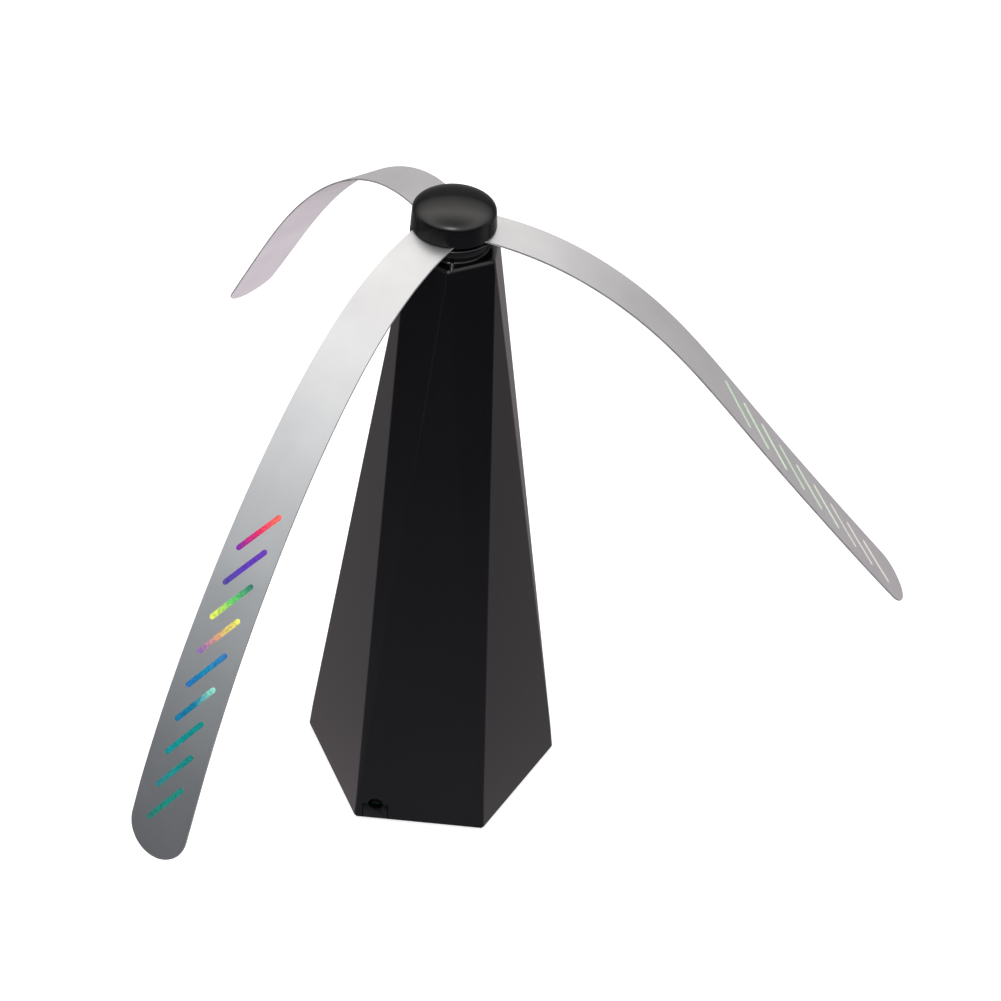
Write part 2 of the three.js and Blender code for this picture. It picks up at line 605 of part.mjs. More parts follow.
function bladeStrip(blade) {
  const sections = [];
  const centre = new THREE.Vector3(BLADE_FREE_R, 0, BLADE_Z);
  const rootFrame = { across: new THREE.Vector3(0, 1, 0), normal: new THREE.Vector3(0, 0, 1) };
  const addSection = (point, half, { across, normal }) => {
    sections.push([[1, 1], [-1, 1], [-1, -1], [1, -1]].map(([a, n]) => point.clone()
      .addScaledVector(across, a * half).addScaledVector(normal, n * BLADE_T / 2)));
  };
  addSection(new THREE.Vector3(BLADE_ROOT_R, 0, BLADE_Z), BLADE_W.root / 2, rootFrame);
  let travelled = 0;
  for (const s of bladeStations()) {
    const pieces = 4;
    for (let i = 0; i < pieces; i += 1) {
      const middle = travelled + (s - travelled) * (i + 0.5) / pieces;
      centre.addScaledVector(bladeFrame(blade, middle / BLADE_L).along, (s - travelled) / pieces);
    }
    travelled = s;
    const frame = s === 0 ? rootFrame : bladeFrame(blade, s / BLADE_L);
    addSection(centre, bladeHalfWidth(s), frame);
  }
  return lofted(sections);
}

// Closed skin through rectangular sections, capped at both ends.
function lofted(sections) {
  const positions = sections.flat().flatMap((p) => [p.x, p.y, p.z]);
  const index = [0, 2, 1, 0, 3, 2];
  const n = 4;
  for (let i = 0; i + 1 < sections.length; i += 1) {
    for (let k = 0; k < n; k += 1) {
      const a = i * n + k;
      const b = i * n + (k + 1) % n;
      index.push(a, b, b + n, a, b + n, a + n);
    }
  }
  const end = (sections.length - 1) * n;
  index.push(end, end + 1, end + 2, end, end + 2, end + 3);
  const geometry = new THREE.BufferGeometry();
  geometry.setAttribute('position', new THREE.Float32BufferAttribute(positions, 3));
  geometry.setIndex(index);
  return geometry;
}

function addRotor() {
  place('hub_disc', hubDisc(), M.hub);
  BLADES.forEach((blade, i) => {
    const pegHole = rod(PEG.r + GAP, 240, 248, PEG.circle, 0, 12);
    const strip = shape([bladeStrip(blade)], [pegHole]).rotateZ(rad(blade.azimuth));
    place(`blade_${i + 1}`, strip, M.blade);
  });
  place('hub_cap', hubCap(), M.hub);
  const screw = turned([[0, 245], [0.85, 245.6], [0.85, 250.7], [3, 250.7], [3, 251.6], [0, 251.9]], 16);
  place('hub_screw', screw, M.screw);
}

// ---------- wiring inside the tower ----------
function lead(x) {
  const side = Math.sign(x);
  const points = [
    [x, WELL_Y - 1.2, 62], [x, WELL_Y - 1.4, 68], [x - side, 12, 85], [side * 8, 9, 105],
    [side * 8.6, 5, 122], [side * 8, 1.5, 134], [side * 7.6, 0, 143],
  ];
  const curve = new THREE.CatmullRomCurve3(points.map((p) => new THREE.Vector3(...p)));
  return tube(curve, 0.6, 24, 8);
}

place('tower_shell', towerShell(), M.shell);
place('bottom_cover', bottomCover(), M.shell);
addFeetAndScrews();
addPower();
addJackAndBoard();
addSwitch();
place('lead_red', lead(-CELL_X), M.red);
place('lead_black', lead(CELL_X), M.black);
addMotor();
addGears();
addGearbox();
addShaft();
addRotor();

export default model;
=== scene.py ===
import math

import bmesh
import bpy
from mathutils import Matrix, Vector


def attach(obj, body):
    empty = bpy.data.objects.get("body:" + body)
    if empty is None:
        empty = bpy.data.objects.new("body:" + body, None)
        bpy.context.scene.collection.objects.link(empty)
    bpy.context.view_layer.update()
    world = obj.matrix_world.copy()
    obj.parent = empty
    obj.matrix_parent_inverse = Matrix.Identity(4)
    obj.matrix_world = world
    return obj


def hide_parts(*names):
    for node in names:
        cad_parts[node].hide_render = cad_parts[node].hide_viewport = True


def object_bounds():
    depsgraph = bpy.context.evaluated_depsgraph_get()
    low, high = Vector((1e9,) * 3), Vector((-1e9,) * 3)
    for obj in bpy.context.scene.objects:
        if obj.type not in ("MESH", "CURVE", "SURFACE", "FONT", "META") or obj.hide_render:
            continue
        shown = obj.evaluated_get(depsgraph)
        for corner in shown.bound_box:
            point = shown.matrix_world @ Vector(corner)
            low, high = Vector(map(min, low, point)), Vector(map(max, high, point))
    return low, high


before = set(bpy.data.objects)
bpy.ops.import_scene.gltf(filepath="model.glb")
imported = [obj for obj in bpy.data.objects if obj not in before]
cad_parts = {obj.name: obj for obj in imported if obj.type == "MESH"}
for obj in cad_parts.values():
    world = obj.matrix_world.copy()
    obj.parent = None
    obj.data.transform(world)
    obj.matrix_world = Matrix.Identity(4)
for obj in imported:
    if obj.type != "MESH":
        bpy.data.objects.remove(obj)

# Lengths below are in millimetres unless a name says otherwise, and MM turns them into metres.
MM = 0.001
CAD_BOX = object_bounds()

# ------ the object's driving sizes
# The tower: corner radii of its base and of its top, which is turned by half a side.
BASE_R = 50
TOP_R = 15.6
TOWER_H = 239
INNER_BASE_R = 47.73
INNER_TOP_R = 13.55
INNER_TOP = 237
INNER_ROUND = 0.5
COS30 = math.cos(math.radians(30))
APOTHEM = BASE_R * COS30
FACET_TILT = math.atan((APOTHEM - TOP_R) / TOWER_H)
RIDGE_ROUND = 1.5
RIM_FILLET = 1.3
FOOT_FILLET = 0.35

JACK_X = -17.1
JACK_Z = 7.8
JACK_HOLE_R = 2.88
SEAM = 0.2
SEEN_SEAM = 0.3                # the tab's upright seams, wider for the eye
TAB_W = 9.4
TAB_TOP = JACK_Z / math.cos(FACET_TILT) - SEAM
FOOT_CIRCLE = 40
FOOT_ANGLES = (0, 120, 240)
SCREW_CIRCLE = 37.5
SCREW_ANGLES = (60, 180, 300)
FIX_Y = 13.5

COLLAR = {"r": 11.1, "root": 237.5, "top": 241.2, "floor": 240, "room": 9.4, "bore": 5.2, "edge": 0.45}
RIM_RIB = {"x": (0.35, 1.45), "y": (-13.9, -10.8), "z": (237.5, 239.5)}
GUSSET = {"r": 0.75, "half": 1.6, "at": (0.9, -13.4, 238.9), "lean": -43}
BOSS = {"r": 3.2, "z": (2.8, 16), "hole_r": 1.6, "hole_top": 13, "web": (38.5, 46.8), "web_half": 1}
POST = {"r": 2.5, "z": (188.7, 231), "hole_r": 1.35, "hole_top": 201}
COVER_SCREW = {"head_r": 2.5, "head": (0.2, 1.3), "r": 1.25, "top": 12, "pitch": 0.8}
GEARBOX_SCREW = {"head_r": 2.2, "head": (171.2, 172.6), "r": 1, "top": 200, "pitch": 0.7}
FOOT = {"r": 4.5, "bottom": -1, "top": 0.6, "soft": 0.1, "dish": 0.15}
HINGE_PIN = {"r": 0.6, "half": 10.5, "y": 27.5, "z": 1.5}

CELL = {"x": 7.6, "y": 16, "z": 4.6, "r": 7.1, "body": 49, "nub": 1.4, "nub_r": 2.7}
SPRING_WIRE = 0.25
LEAD_R = 0.6
# The route of a lead on its own side: (x towards that side, y, z).
LEAD_ROUTE = ((7.6, 14.8, 62), (7.6, 14.6, 68), (6.6, 12, 85), (8, 9, 105), (8.6, 5, 122), (8, 1.5, 134),
              (7.6, 0, 143))
GRIPS = {"count": 6, "first": 8.6, "pitch": 1.5, "half": 9, "r": 0.45, "z": 0.12}
KNOB_GROOVES = {"count": 4, "first": -3.2, "pitch": 0.8, "y": (-20, -10), "r": 0.26, "z": 0.36}
BOARD_TOP = 4.1
CHIP = {"x": (-12.2, -8.4), "y": (-33, -28), "top": 5.5}
CHIP_LEGS = {"a_side": 4, "first": -32.4, "pitch": 1.2, "out": 2.25, "half": 0.35, "width": 0.4,
             "top": 4.5}
CAPACITOR = {"x": -8.6, "y": -36.2, "r": 1.9, "groove": 5, "top": 7.8}
COIL = {"count": 3, "out": 4.15, "half_width": 2.35, "half_height": 8.1, "middle": 160.25, "r": 0.75,
        "points": 28}
MOTOR_SHAFT = {"r": 1, "z": (145.4, 179.9)}
LAY_PIN = {"r": 0.8, "z": (173.4, 187), "x": 8.4}
SHAFT_R = 2

DISC = {"r": 13.2, "bottom": 241.7, "rim": 244.3, "top": 244.6, "soft": 0.5}
CAP = {"r": 13.1, "rim": 245.1, "shoulder_r": 12.7, "shoulder": 250.7, "top": 254.7, "wall": 1.5,
       "soft": 0.2}
PEG_CIRCLE = 8.2
BLADE_Z = 245.2
BLADE_T = 0.6
BLADE_L = 207.5
ROOT_IN = 5.5                  # how far the blade runs in under the cap
FREE_R = 11
WIDTH_ROOT = 15
WIDTH_FULL = 21.4
FULL_AT = 0.9
TIP_ROUND = 10
# Each blade's angles in degrees: pitch at the stations, sweep as (start, gain), bank from root to tip.
PITCH_STATIONS = (0, 0.2, 0.4, 0.7, 1)
BLADES = (
    {"azimuth": -121.7, "pitch": (-8, -34.5, -45.5, -53, -61.5), "sweep": (0.5, 8), "bank": (-1, 6.5)},
    {"azimuth": -1.7, "pitch": (-8, -31.5, -46.5, -47.5, -46.5), "sweep": (-3, 7), "bank": (0, -2)},
    {"azimuth": 118.3, "pitch": (-8, -25.5, -39, -53, -56), "sweep": (-1.5, 22), "bank": (-3.5, -0.5)},
)
# The slanted foil marks near the tip of each blade.
MARKS = {"count": 9, "first": 102.3, "pitch": 10.91, "run": 6.47, "rise": 4.24, "half": 1.0, "lift": 0.05}


# ------ materials
def srgb(r, g, b):
    def linear(value):
        share = value / 255
        return share / 12.92 if share <= 0.04045 else ((share + 0.055) / 1.055) ** 2.4
    return linear(r), linear(g), linear(b)


def fill_ramp(node, stops):
    """Sets a colour ramp node from (position, RGB colour) pairs."""
    elements = node.color_ramp.elements
    while len(elements) < len(stops):
        elements.new(0.5)
    for element, (position, colour) in zip(elements, stops):
        element.position = position
        element.color = (*colour, 1)


class Paint:
    """One material's node tree around its Principled shader, in object coordinates."""

    def __init__(self, name, **sockets):
        self.material = bpy.data.materials.new(name)
        self.material.use_nodes = True
        self.tree = self.material.node_tree
        self.shader = self.tree.nodes["Principled BSDF"]
        self.place = self.tree.nodes.new("ShaderNodeTexCoord").outputs["Object"]
        for socket, value in sockets.items():
            self.shader.inputs[socket.replace("_", " ")].default_value = value

    def link(self, source, socket):
        self.tree.links.new(source, self.shader.inputs[socket])

    def noise(self, size, detail=3.0, stretch=(1, 1, 1)):
        """Noise whose blotches are about size millimetres across, longer where stretch is large."""
        mapping = self.tree.nodes.new("ShaderNodeMapping")
        mapping.inputs["Scale"].default_value = [1 / (size * MM * s) for s in stretch]
        self.tree.links.new(self.place, mapping.inputs["Vector"])
        node = self.tree.nodes.new("ShaderNodeTexNoise")
        node.inputs["Scale"].default_value = 1
        node.inputs["Detail"].default_value = detail
        self.tree.links.new(mapping.outputs["Vector"], node.inputs["Vector"])
        return node.outputs["Fac"]

    def ramp(self, source, stops):
        node = self.tree.nodes.new("ShaderNodeValToRGB")
        fill_ramp(node, stops)
        self.tree.links.new(source, node.inputs["Fac"])
        return node.outputs["Color"]

    def span(self, source, low, high, start=0.3, end=0.7):
        """Turns a value that runs from start to end into one from low to high."""
        node = self.tree.nodes.new("ShaderNodeMapRange")
        node.inputs["From Min"].default_value = start
        node.inputs["From Max"].default_value = end
        node.inputs["To Min"].default_value = low
        node.inputs["To Max"].default_value = high
        self.tree.links.new(source, node.inputs["Value"])
        return node.outputs["Result"]

    def bump(self, source, strength, depth):
        node = self.tree.nodes.new("ShaderNodeBump")
        node.inputs["Strength"].default_value = strength
        node.inputs["Distance"].default_value = depth * MM
        self.tree.links.new(source, node.inputs["Height"])
        self.link(node.outputs["Normal"], "Normal")


def grained(name, dark, light, rough, grain=0.5, patch=14, strength=0.2, depth=0.02,
            stretch=(1, 1, 1), **sockets):
    """A surface with slow colour variation, and a fine grain in its roughness and relief."""
    paint = Paint(name, **sockets)
    slow = paint.noise(patch, 4, stretch)
    fine = paint.noise(grain, 4, stretch)
    paint.link(paint.ramp(slow, [(0.3, dark), (0.7, light)]), "Base Color")
    paint.link(paint.span(fine, *rough), "Roughness")
    paint.bump(fine, strength, depth)
    return paint


def moulded(name, *look, **options):
    return grained(name, *look, **options).material


# Satin plastic's gloss, face on and at a glancing view, and the Layer Weights between which it falls.
SATIN_GLOSS = (0.62, 0.06)
SATIN_LEAN = (0.31, 0.5)


def satin(name, dark, light, rough):
    """Plastic with a fine grain that hides its gloss at a glancing view."""
    paint = grained(name, dark, light, rough, grain=0.3, patch=9, strength=0.12, depth=0.008, IOR=1.5)
    layer = paint.tree.nodes.new("ShaderNodeLayerWeight")
    gloss = paint.span(layer.outputs["Facing"], *SATIN_GLOSS, *SATIN_LEAN)
    paint.link(gloss, "Specular IOR Level")
    return paint.material


def metal(name, dark, light, rough, **options):
    return moulded(name, dark, light, rough, Metallic=1.0, **options)


SLEEVE_SPAN = (4 * MM, 56 * MM)


def by_height(name, stops, rough, metallic):
    """A printed sleeve: plain colour bands along Z, with a little wear in the gloss."""
    paint = Paint(name, Metallic=metallic)
    split = paint.tree.nodes.new("ShaderNodeSeparateXYZ")
    paint.tree.links.new(paint.place, split.inputs["Vector"])
    share = paint.span(split.outputs["Z"], 0, 1, *SLEEVE_SPAN)
    paint.link(paint.ramp(share, stops), "Base Color")
    paint.link(paint.span(paint.noise(2), *rough), "Roughness")
    paint.bump(paint.noise(0.6), 0.1, 0.01)
    return paint.material


# Where on the ramp each foil's painted crease shade starts, and how far apart its four painted shades are.
CREASE_START, CREASE_STEP = 0.42, 0.08


def foil(name, stops, glow, crease_shade):
    """Diffraction foil: its hue runs along each mark, under painted shade and painted highlight of fine
    creases, and it shines with a painted glow.
    """
    # The emission at glow strength is painted glow: the marks shine with their own hue, painted crease
    # shade included.
    paint = Paint(name, Metallic=0.25, Emission_Strength=glow)
    tree = paint.tree
    attribute = tree.nodes.new("ShaderNodeAttribute")
    attribute.attribute_name = "shade"
    shift = tree.nodes.new("ShaderNodeMath")
    shift.operation = "ADD"
    tree.links.new(attribute.outputs["Fac"], shift.inputs[0])
    tree.links.new(paint.span(paint.noise(1.4, 5), -0.006, 0.006), shift.inputs[1])
    # Painted shade and painted highlight of fine creases: noise darkens the hue down to the foil's darkest
    # crease value and lifts it up to 1.15.
    shades = (crease_shade, 1, (1 + 2 * crease_shade) / 3, 1.15)
    painted_crease_shade = [(CREASE_START + CREASE_STEP * i, (v, v, v)) for i, v in enumerate(shades)]
    hue = tree.nodes.new("ShaderNodeMix")
    hue.data_type = "RGBA"
    hue.blend_type = "MULTIPLY"
    hue.inputs["Factor"].default_value = 1
    tree.links.new(paint.ramp(shift.outputs["Value"], stops), hue.inputs["A"])
    tree.links.new(paint.ramp(paint.noise(0.9, 6), painted_crease_shade), hue.inputs["B"])
    for socket in ("Base Color", "Emission Color"):
        paint.link(hue.outputs["Result"], socket)
    fine = paint.noise(0.35, 4)
    paint.link(paint.span(fine, 0.22, 0.4), "Roughness")
    paint.bump(fine, 0.3, 0.01)
    return paint.material


# Hues of the nine marks, each from one end of the mark to the other.
SPECTRUM = (
    ((112, 34, 170), (236, 40, 98), (255, 112, 92)),
    ((78, 70, 158), (96, 52, 190), (106, 52, 184)),
    ((250, 252, 104), (104, 214, 104), (40, 122, 122)),
    ((146, 108, 190), (226, 166, 128), (250, 254, 100)),
    ((32, 112, 186), (20, 142, 186), (52, 124, 196)),
    ((18, 122, 172), (8, 128, 164), (156, 240, 216)),
    ((22, 146, 156), (2, 152, 150), (12, 140, 140)),
    ((52, 130, 140), (24, 146, 146), (20, 140, 134)),
    ((46, 130, 120), (26, 142, 126), (34, 140, 130)),
)
# Hues of the pale foil, in three groups along the blade.
PALE = (
    ((186, 216, 184), (208, 232, 204)),
    ((192, 214, 186), (212, 228, 202)),
    ((210, 208, 196), (226, 224, 214)),
)
# The share of each group's stretch of the ramp that is left at both of its ends.
FOIL_MARGIN = 0.15


def spread(groups):
    """Ramp stops for groups of colours that share the range evenly."""
    stops = []
    for i, group in enumerate(groups):
        for k, colour in enumerate(group):
            share = FOIL_MARGIN + (1 - 2 * FOIL_MARGIN) * k / (len(group) - 1)
            stops.append(((i + share) / len(groups), srgb(*colour)))
    return stops


MATERIALS = {
    "shell": moulded("shell_plastic", (0.0032, 0.0028, 0.0033), (0.0042, 0.0038, 0.0042),
                     (0.2, 0.27), grain=0.4, patch=40, strength=0.05, depth=0.006, IOR=1.5),
    "hub": satin("hub_plastic", (0.0026, 0.0025, 0.0027), (0.0036, 0.0034, 0.0036), (0.22, 0.28)),
    "film": moulded("blade_film", (0.70, 0.70, 0.715), (0.77, 0.77, 0.78), (0.36, 0.46),
                    grain=0.22, patch=18, strength=0.16, depth=0.006, Metallic=0.96),
    "film_edge": moulded("blade_edge", (0.19, 0.185, 0.195), (0.32, 0.31, 0.325), (0.5, 0.7),
                         grain=0.3, patch=5),
    # The two foils carry a painted glow of 0.42 and 0.28, and painted crease shade down to 0.62 and 0.92.
    "foil": foil("hologram_bright", spread(SPECTRUM), 0.42, 0.62),
    "foil_pale": foil("hologram_pale", spread(PALE), 0.28, 0.92),
    "rubber": moulded("foot_rubber", (0.012, 0.012, 0.013), (0.024, 0.024, 0.026), (0.75, 0.95),
                      grain=0.25, patch=3, strength=0.6, depth=0.03),
    "dark": moulded("dark_plastic", (0.014, 0.014, 0.016), (0.024, 0.024, 0.027), (0.42, 0.6),
                    grain=0.25, patch=8, strength=0.3, depth=0.015),
    "black": moulded("socket_plastic", (0.006, 0.006, 0.007), (0.012, 0.012, 0.013), (0.3, 0.45),
                     grain=0.3, patch=4, strength=0.2, depth=0.01),
    "screw": metal("screw_zinc", (0.42, 0.43, 0.44), (0.6, 0.61, 0.63), (0.22, 0.42),
                   grain=0.4, patch=2.5, strength=0.15),
    "steel": metal("bright_steel", (0.55, 0.56, 0.58), (0.68, 0.69, 0.7), (0.16, 0.32),
                   grain=0.3, patch=6, stretch=(1, 1, 12)),
    "can": metal("motor_steel", (0.46, 0.47, 0.48), (0.6, 0.61, 0.62), (0.26, 0.44),
                 grain=0.35, patch=5, stretch=(1, 1, 6)),
    "nickel": metal("nickel_plate", (0.58, 0.56, 0.5), (0.72, 0.7, 0.64), (0.18, 0.34),
                    grain=0.4, patch=3),
    "brass": metal("brass", (0.55, 0.36, 0.12), (0.76, 0.55, 0.24), (0.2, 0.36),
                   grain=0.3, patch=3, stretch=(1, 1, 4)),
    "copper": metal("enamelled_copper", (0.42, 0.13, 0.04), (0.62, 0.24, 0.09), (0.2, 0.4),
                    grain=0.35, patch=1.2, strength=0.8, depth=0.06, stretch=(1, 1, 0.5)),
    "iron": metal("core_iron", (0.2, 0.2, 0.21), (0.34, 0.34, 0.35), (0.4, 0.6),
                  grain=0.35, patch=3, strength=0.7, depth=0.04, stretch=(8, 8, 1)),
    "magnet": moulded("ferrite", (0.03, 0.03, 0.032), (0.055, 0.054, 0.056), (0.55, 0.8),
                      grain=0.2, patch=2, strength=0.5, depth=0.03, Metallic=0.3),
    "sleeve": by_height("cell_sleeve", [(0.0, (0.02, 0.022, 0.028)), (0.7, (0.03, 0.034, 0.042)),
                                        (0.74, (0.5, 0.24, 0.08)), (0.95, (0.62, 0.33, 0.13))],
                        (0.22, 0.34), 0.35),
    "board": moulded("board_green", (0.008, 0.06, 0.022), (0.018, 0.11, 0.045), (0.3, 0.5),
                     grain=0.3, patch=1.1, strength=0.3, depth=0.02),
    "red": moulded("red_insulation", (0.36, 0.012, 0.01), (0.5, 0.022, 0.016), (0.35, 0.5),
                   grain=0.4, patch=4),
    "lead_black": moulded("black_insulation", (0.008, 0.008, 0.009), (0.016, 0.016, 0.017),
                          (0.35, 0.5), grain=0.4, patch=4),
    "acetal": moulded("gear_acetal", (0.66, 0.63, 0.54), (0.76, 0.74, 0.66), (0.38, 0.55),
                      grain=0.25, patch=4, strength=0.15, Subsurface_Weight=0.05),
    "solder": metal("solder", (0.5, 0.5, 0.5), (0.66, 0.66, 0.65), (0.25, 0.45), grain=0.3, patch=1),
}


# ------ shapes, as (points, faces)
def on_circle(r, degrees):
    return r * math.cos(math.radians(degrees)), r * math.sin(math.radians(degrees))


def block(x0, x1, y0, y1, z0, z1):
    points = [(x, y, z) for z in (z0, z1) for y in (y0, y1) for x in (x0, x1)]
    faces = [(0, 2, 3, 1), (4, 5, 7, 6), (0, 1, 5, 4), (2, 6, 7, 3), (0, 4, 6, 2), (1, 3, 7, 5)]
    return points, faces


def turned(profile, sides=64):
    """A body of revolution from (radius, z) points, which end on the axis or where they started."""
    closed = profile[0] == profile[-1]
    rows = profile[:-1] if closed else profile
    points = []
    rings = []
    for r, z in rows:
        first = len(points)
        if r == 0:
            points.append((0, 0, z))
            rings.append([first] * sides)
            continue
        points += [(*on_circle(r, 360 * i / sides), z) for i in range(sides)]
        rings.append(list(range(first, first + sides)))
    pairs = list(zip(rings, rings[1:]))
    if closed:
        pairs.append((rings[-1], rings[0]))
    faces = []
    for low, high in pairs:
        for i in range(sides):
            k = (i + 1) % sides
            corners = tuple(dict.fromkeys((low[i], low[k], high[k], high[i])))
            if len(corners) > 2:
                faces.append(corners)
    return points, faces


def rod(r, z0, z1, x=0, y=0, sides=32, chamfer=0.0):
    c = chamfer
    profile = [(0, z0), (r - c, z0), (r, z0 + c), (r, z1 - c), (r - c, z1), (0, z1)]
    profile = list(dict.fromkeys(profile))
    return moved(turned(profile, sides), x, y, 0)


def lying(axis, r, start, end, x=0, y=0, z=0, sides=32, chamfer=0.0):
    """A rod from start to end along X or Y, through a point."""
    return placed(rod(r, start, end, sides=sides, chamfer=chamfer), turned_to(axis, x, y, z))


def arc_points(r, x, y, start, end, steps):
    """Points on part of a circle round (x, y), from one angle to another."""
    angles = [math.radians(start + (end - start) * i / steps) for i in range(steps + 1)]
    return [(x + r * math.cos(a), y + r * math.sin(a)) for a in angles]


def moved(shape, x, y, z):
    return [(px + x, py + y, pz + z) for px, py, pz in shape[0]], shape[1]


def placed(shape, matrix):
    return [tuple(matrix @ Vector(p)) for p in shape[0]], shape[1]


def turned_to(axis, x=0, y=0, z=0):
    """Matrix that lays a shape drawn along Z down along X or Y."""
    turn = Matrix.Rotation(math.pi / 2, 4, "Y") if axis == "X" else Matrix.Rotation(-math.pi / 2, 4, "X")
    return Matrix.Translation((x, y, z)) @ turn


def about_z(degrees):
    return Matrix.Rotation(math.radians(degrees), 4, "Z")


def skin(rows):
    """Closed skin through loops of equal length, capped at both ends."""
    n = len(rows[0])
    points = [p for row in rows for p in row]
    faces = [tuple(reversed(range(n))), tuple(range(len(points) - n, len(points)))]
    for i in range(len(rows) - 1):
        for k in range(n):
            a = i * n + k
            b = i * n + (k + 1) % n
            faces.append((a, b, b + n, a + n))
    return points, faces


def tube(path, r, sides=10, closed=False):
    """A round bar along a path, with a section that doesn't twist."""
    path = [Vector(p) for p in path]
    count = len(path)
    rows = []
    side = None
    for i, point in enumerate(path):
        before = path[i - 1] if i or closed else path[i]
        after = path[(i + 1) % count] if i + 1 < count or closed else path[i]
        along = (after - before).normalized()
        if side is None:
            side = along.orthogonal().normalized()
        side = (side - along * side.dot(along)).normalized()
        other = along.cross(side)
        turn = [2 * math.pi * k / sides for k in range(sides)]
        rows.append([tuple(point + side * math.cos(a) * r + other * math.sin(a) * r) for a in turn])
    points, faces = skin(rows)
    if closed:
        last = (count - 1) * sides
        faces = faces[2:]
        faces += [(last + k, last + (k + 1) % sides, (k + 1) % sides, k) for k in range(sides)]
    return points, faces


def helix(turns, r0, r1, z0, z1, steps, x=0, y=0):
    path = []
    for i in range(steps + 1):
        share = i / steps
        r = r0 + (r1 - r0) * share
        px, py = on_circle(r, 360 * turns * share)
        path.append((x + px, y + py, z0 + (z1 - z0) * share))
    return path


def smooth_path(knots, steps):
    """Catmull-Rom curve through the knots."""
    knots = [Vector(k) for k in knots]
    ends = [2 * knots[0] - knots[1], *knots, 2 * knots[-1] - knots[-2]]
    path = []
    for i in range(1, len(ends) - 2):
        a, b, c, d = ends[i - 1:i + 3]
        for k in range(steps):
            t = k / steps
            path.append(0.5 * (2 * b + (c - a) * t + (2 * a - 5 * b + 4 * c - d) * t ** 2
                               + (3 * b - a - 3 * c + d) * t ** 3))
    path.append(knots[-1])
    return path


def mesh_of(name, *shapes):
    mesh = bpy.data.meshes.new(name)
    bm = bmesh.new()
    for points, faces in shapes:
        verts = [bm.verts.new(Vector(p) * MM) for p in points]
        for face in faces:
            bm.faces.new([verts[i] for i in face])
    bmesh.ops.recalc_face_normals(bm, faces=bm.faces)
    bm.to_mesh(mesh)
    bm.free()
    return mesh


def add_object(name, data):
    obj = bpy.data.objects.new(name, data)
    bpy.context.scene.collection.objects.link(obj)
    return obj


def combine(mesh, *steps):
    """Applies ("UNION" | "DIFFERENCE" | "INTERSECT", shape) steps to a mesh, one by one."""
    whole = add_object("whole", mesh)
    tools = []
    for operation, shape in steps:
        tool = add_object("tool", mesh_of("tool", shape))
        modifier = whole.modifiers.new("step", "BOOLEAN")
        modifier.operation = operation
        modifier.solver = "MANIFOLD"
        modifier.object = tool
        tools.append(tool)
    ready = whole.evaluated_get(bpy.context.evaluated_depsgraph_get())
    result = bpy.data.meshes.new_from_object(ready)
    for spare in [whole, *tools]:
        bpy.data.objects.remove(spare)
    return result


def rounded(mesh, width, segments=2, angle=40):
    """Rounds the sharp edges of a closed mesh, after joining its coplanar faces."""
    bm = bmesh.new()
    bm.from_mesh(mesh)
    bmesh.ops.remove_doubles(bm, verts=bm.verts, dist=1e-6)
    bmesh.ops.dissolve_limit(bm, angle_limit=math.radians(1), verts=bm.verts, edges=bm.edges)
    sharp = [e for e in bm.edges if e.is_manifold and e.calc_face_angle(0) > math.radians(angle)]
    bmesh.ops.bevel(bm, geom=sharp, offset=width * MM, segments=segments, profile=0.5,
                    affect="EDGES", clamp_overlap=True)
    fresh = bpy.data.meshes.new(mesh.name)
    bm.to_mesh(fresh)
    bm.free()
    return fresh


def piece(name, mesh, body, material, replaces=(), smooth=32):
    """Adds a finished mesh as a piece that rides on a body."""
    if smooth:
        mesh.shade_smooth()
        mesh.set_sharp_from_angle(angle=math.radians(smooth))
    else:
        mesh.shade_flat()
    mesh.materials.clear()
    mesh.materials.append(MATERIALS[material])
    obj = add_object(name, mesh)
    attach(obj, body)
    if replaces:
        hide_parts(*replaces)
    return obj


def finer(node, body, material, width, extra=(), segments=2):
    """Stands for a CAD node with the same shape, its edges rounded and details added."""
    mesh = rounded(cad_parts[node].data, width, segments)
    if extra:
        mesh = combine(mesh, *extra)
    return piece(node + "_fine", mesh, body, material, [node])


# ------ tower shell
def tower_loop(r0, r1, height, z, rounding, inset=0.0, arc=4):
    """Level section of the twelve-sided tower, with rounded ridges."""
    share = z / height
    wide = r0 * COS30 + (r1 - r0 * COS30) * share - rounding - inset
    narrow = r0 + (r1 * COS30 - r0) * share - rounding - inset
    reach = [narrow if j % 2 == 0 else wide for j in range(12)]
    loop = []
    for j in range(12):
        here, there = reach[j], reach[(j + 1) % 12]
        first = 30 * j
        if there - here * COS30 < 0:
            corner = Vector(on_circle(there / COS30, first))
        elif here - there * COS30 < 0:
            corner = Vector(on_circle(here / COS30, first + 30))
        else:
            run = (there - here * COS30) / 0.5
            corner = Vector(on_circle(here, first)) + Vector(on_circle(run, first + 90))
        for k in range(arc + 1):
            point = corner + Vector(on_circle(rounding, first + 30 * k / arc))
            loop.append((point.x, point.y, z))
    return loop


def tower_levels(r0, r1, height, rounding):
    """Heights where a rounded ridge splits from its neighbour."""
    share = 4 * rounding * (1 - COS30)
    return share / r1 * height, height - share / r0 * height


def fillet(width, degrees):
    """How far a rounded edge lies inside the wall and below its end."""
    angle = math.radians(degrees)
    return width * (1 - math.cos(angle)), width * (1 - math.sin(angle))


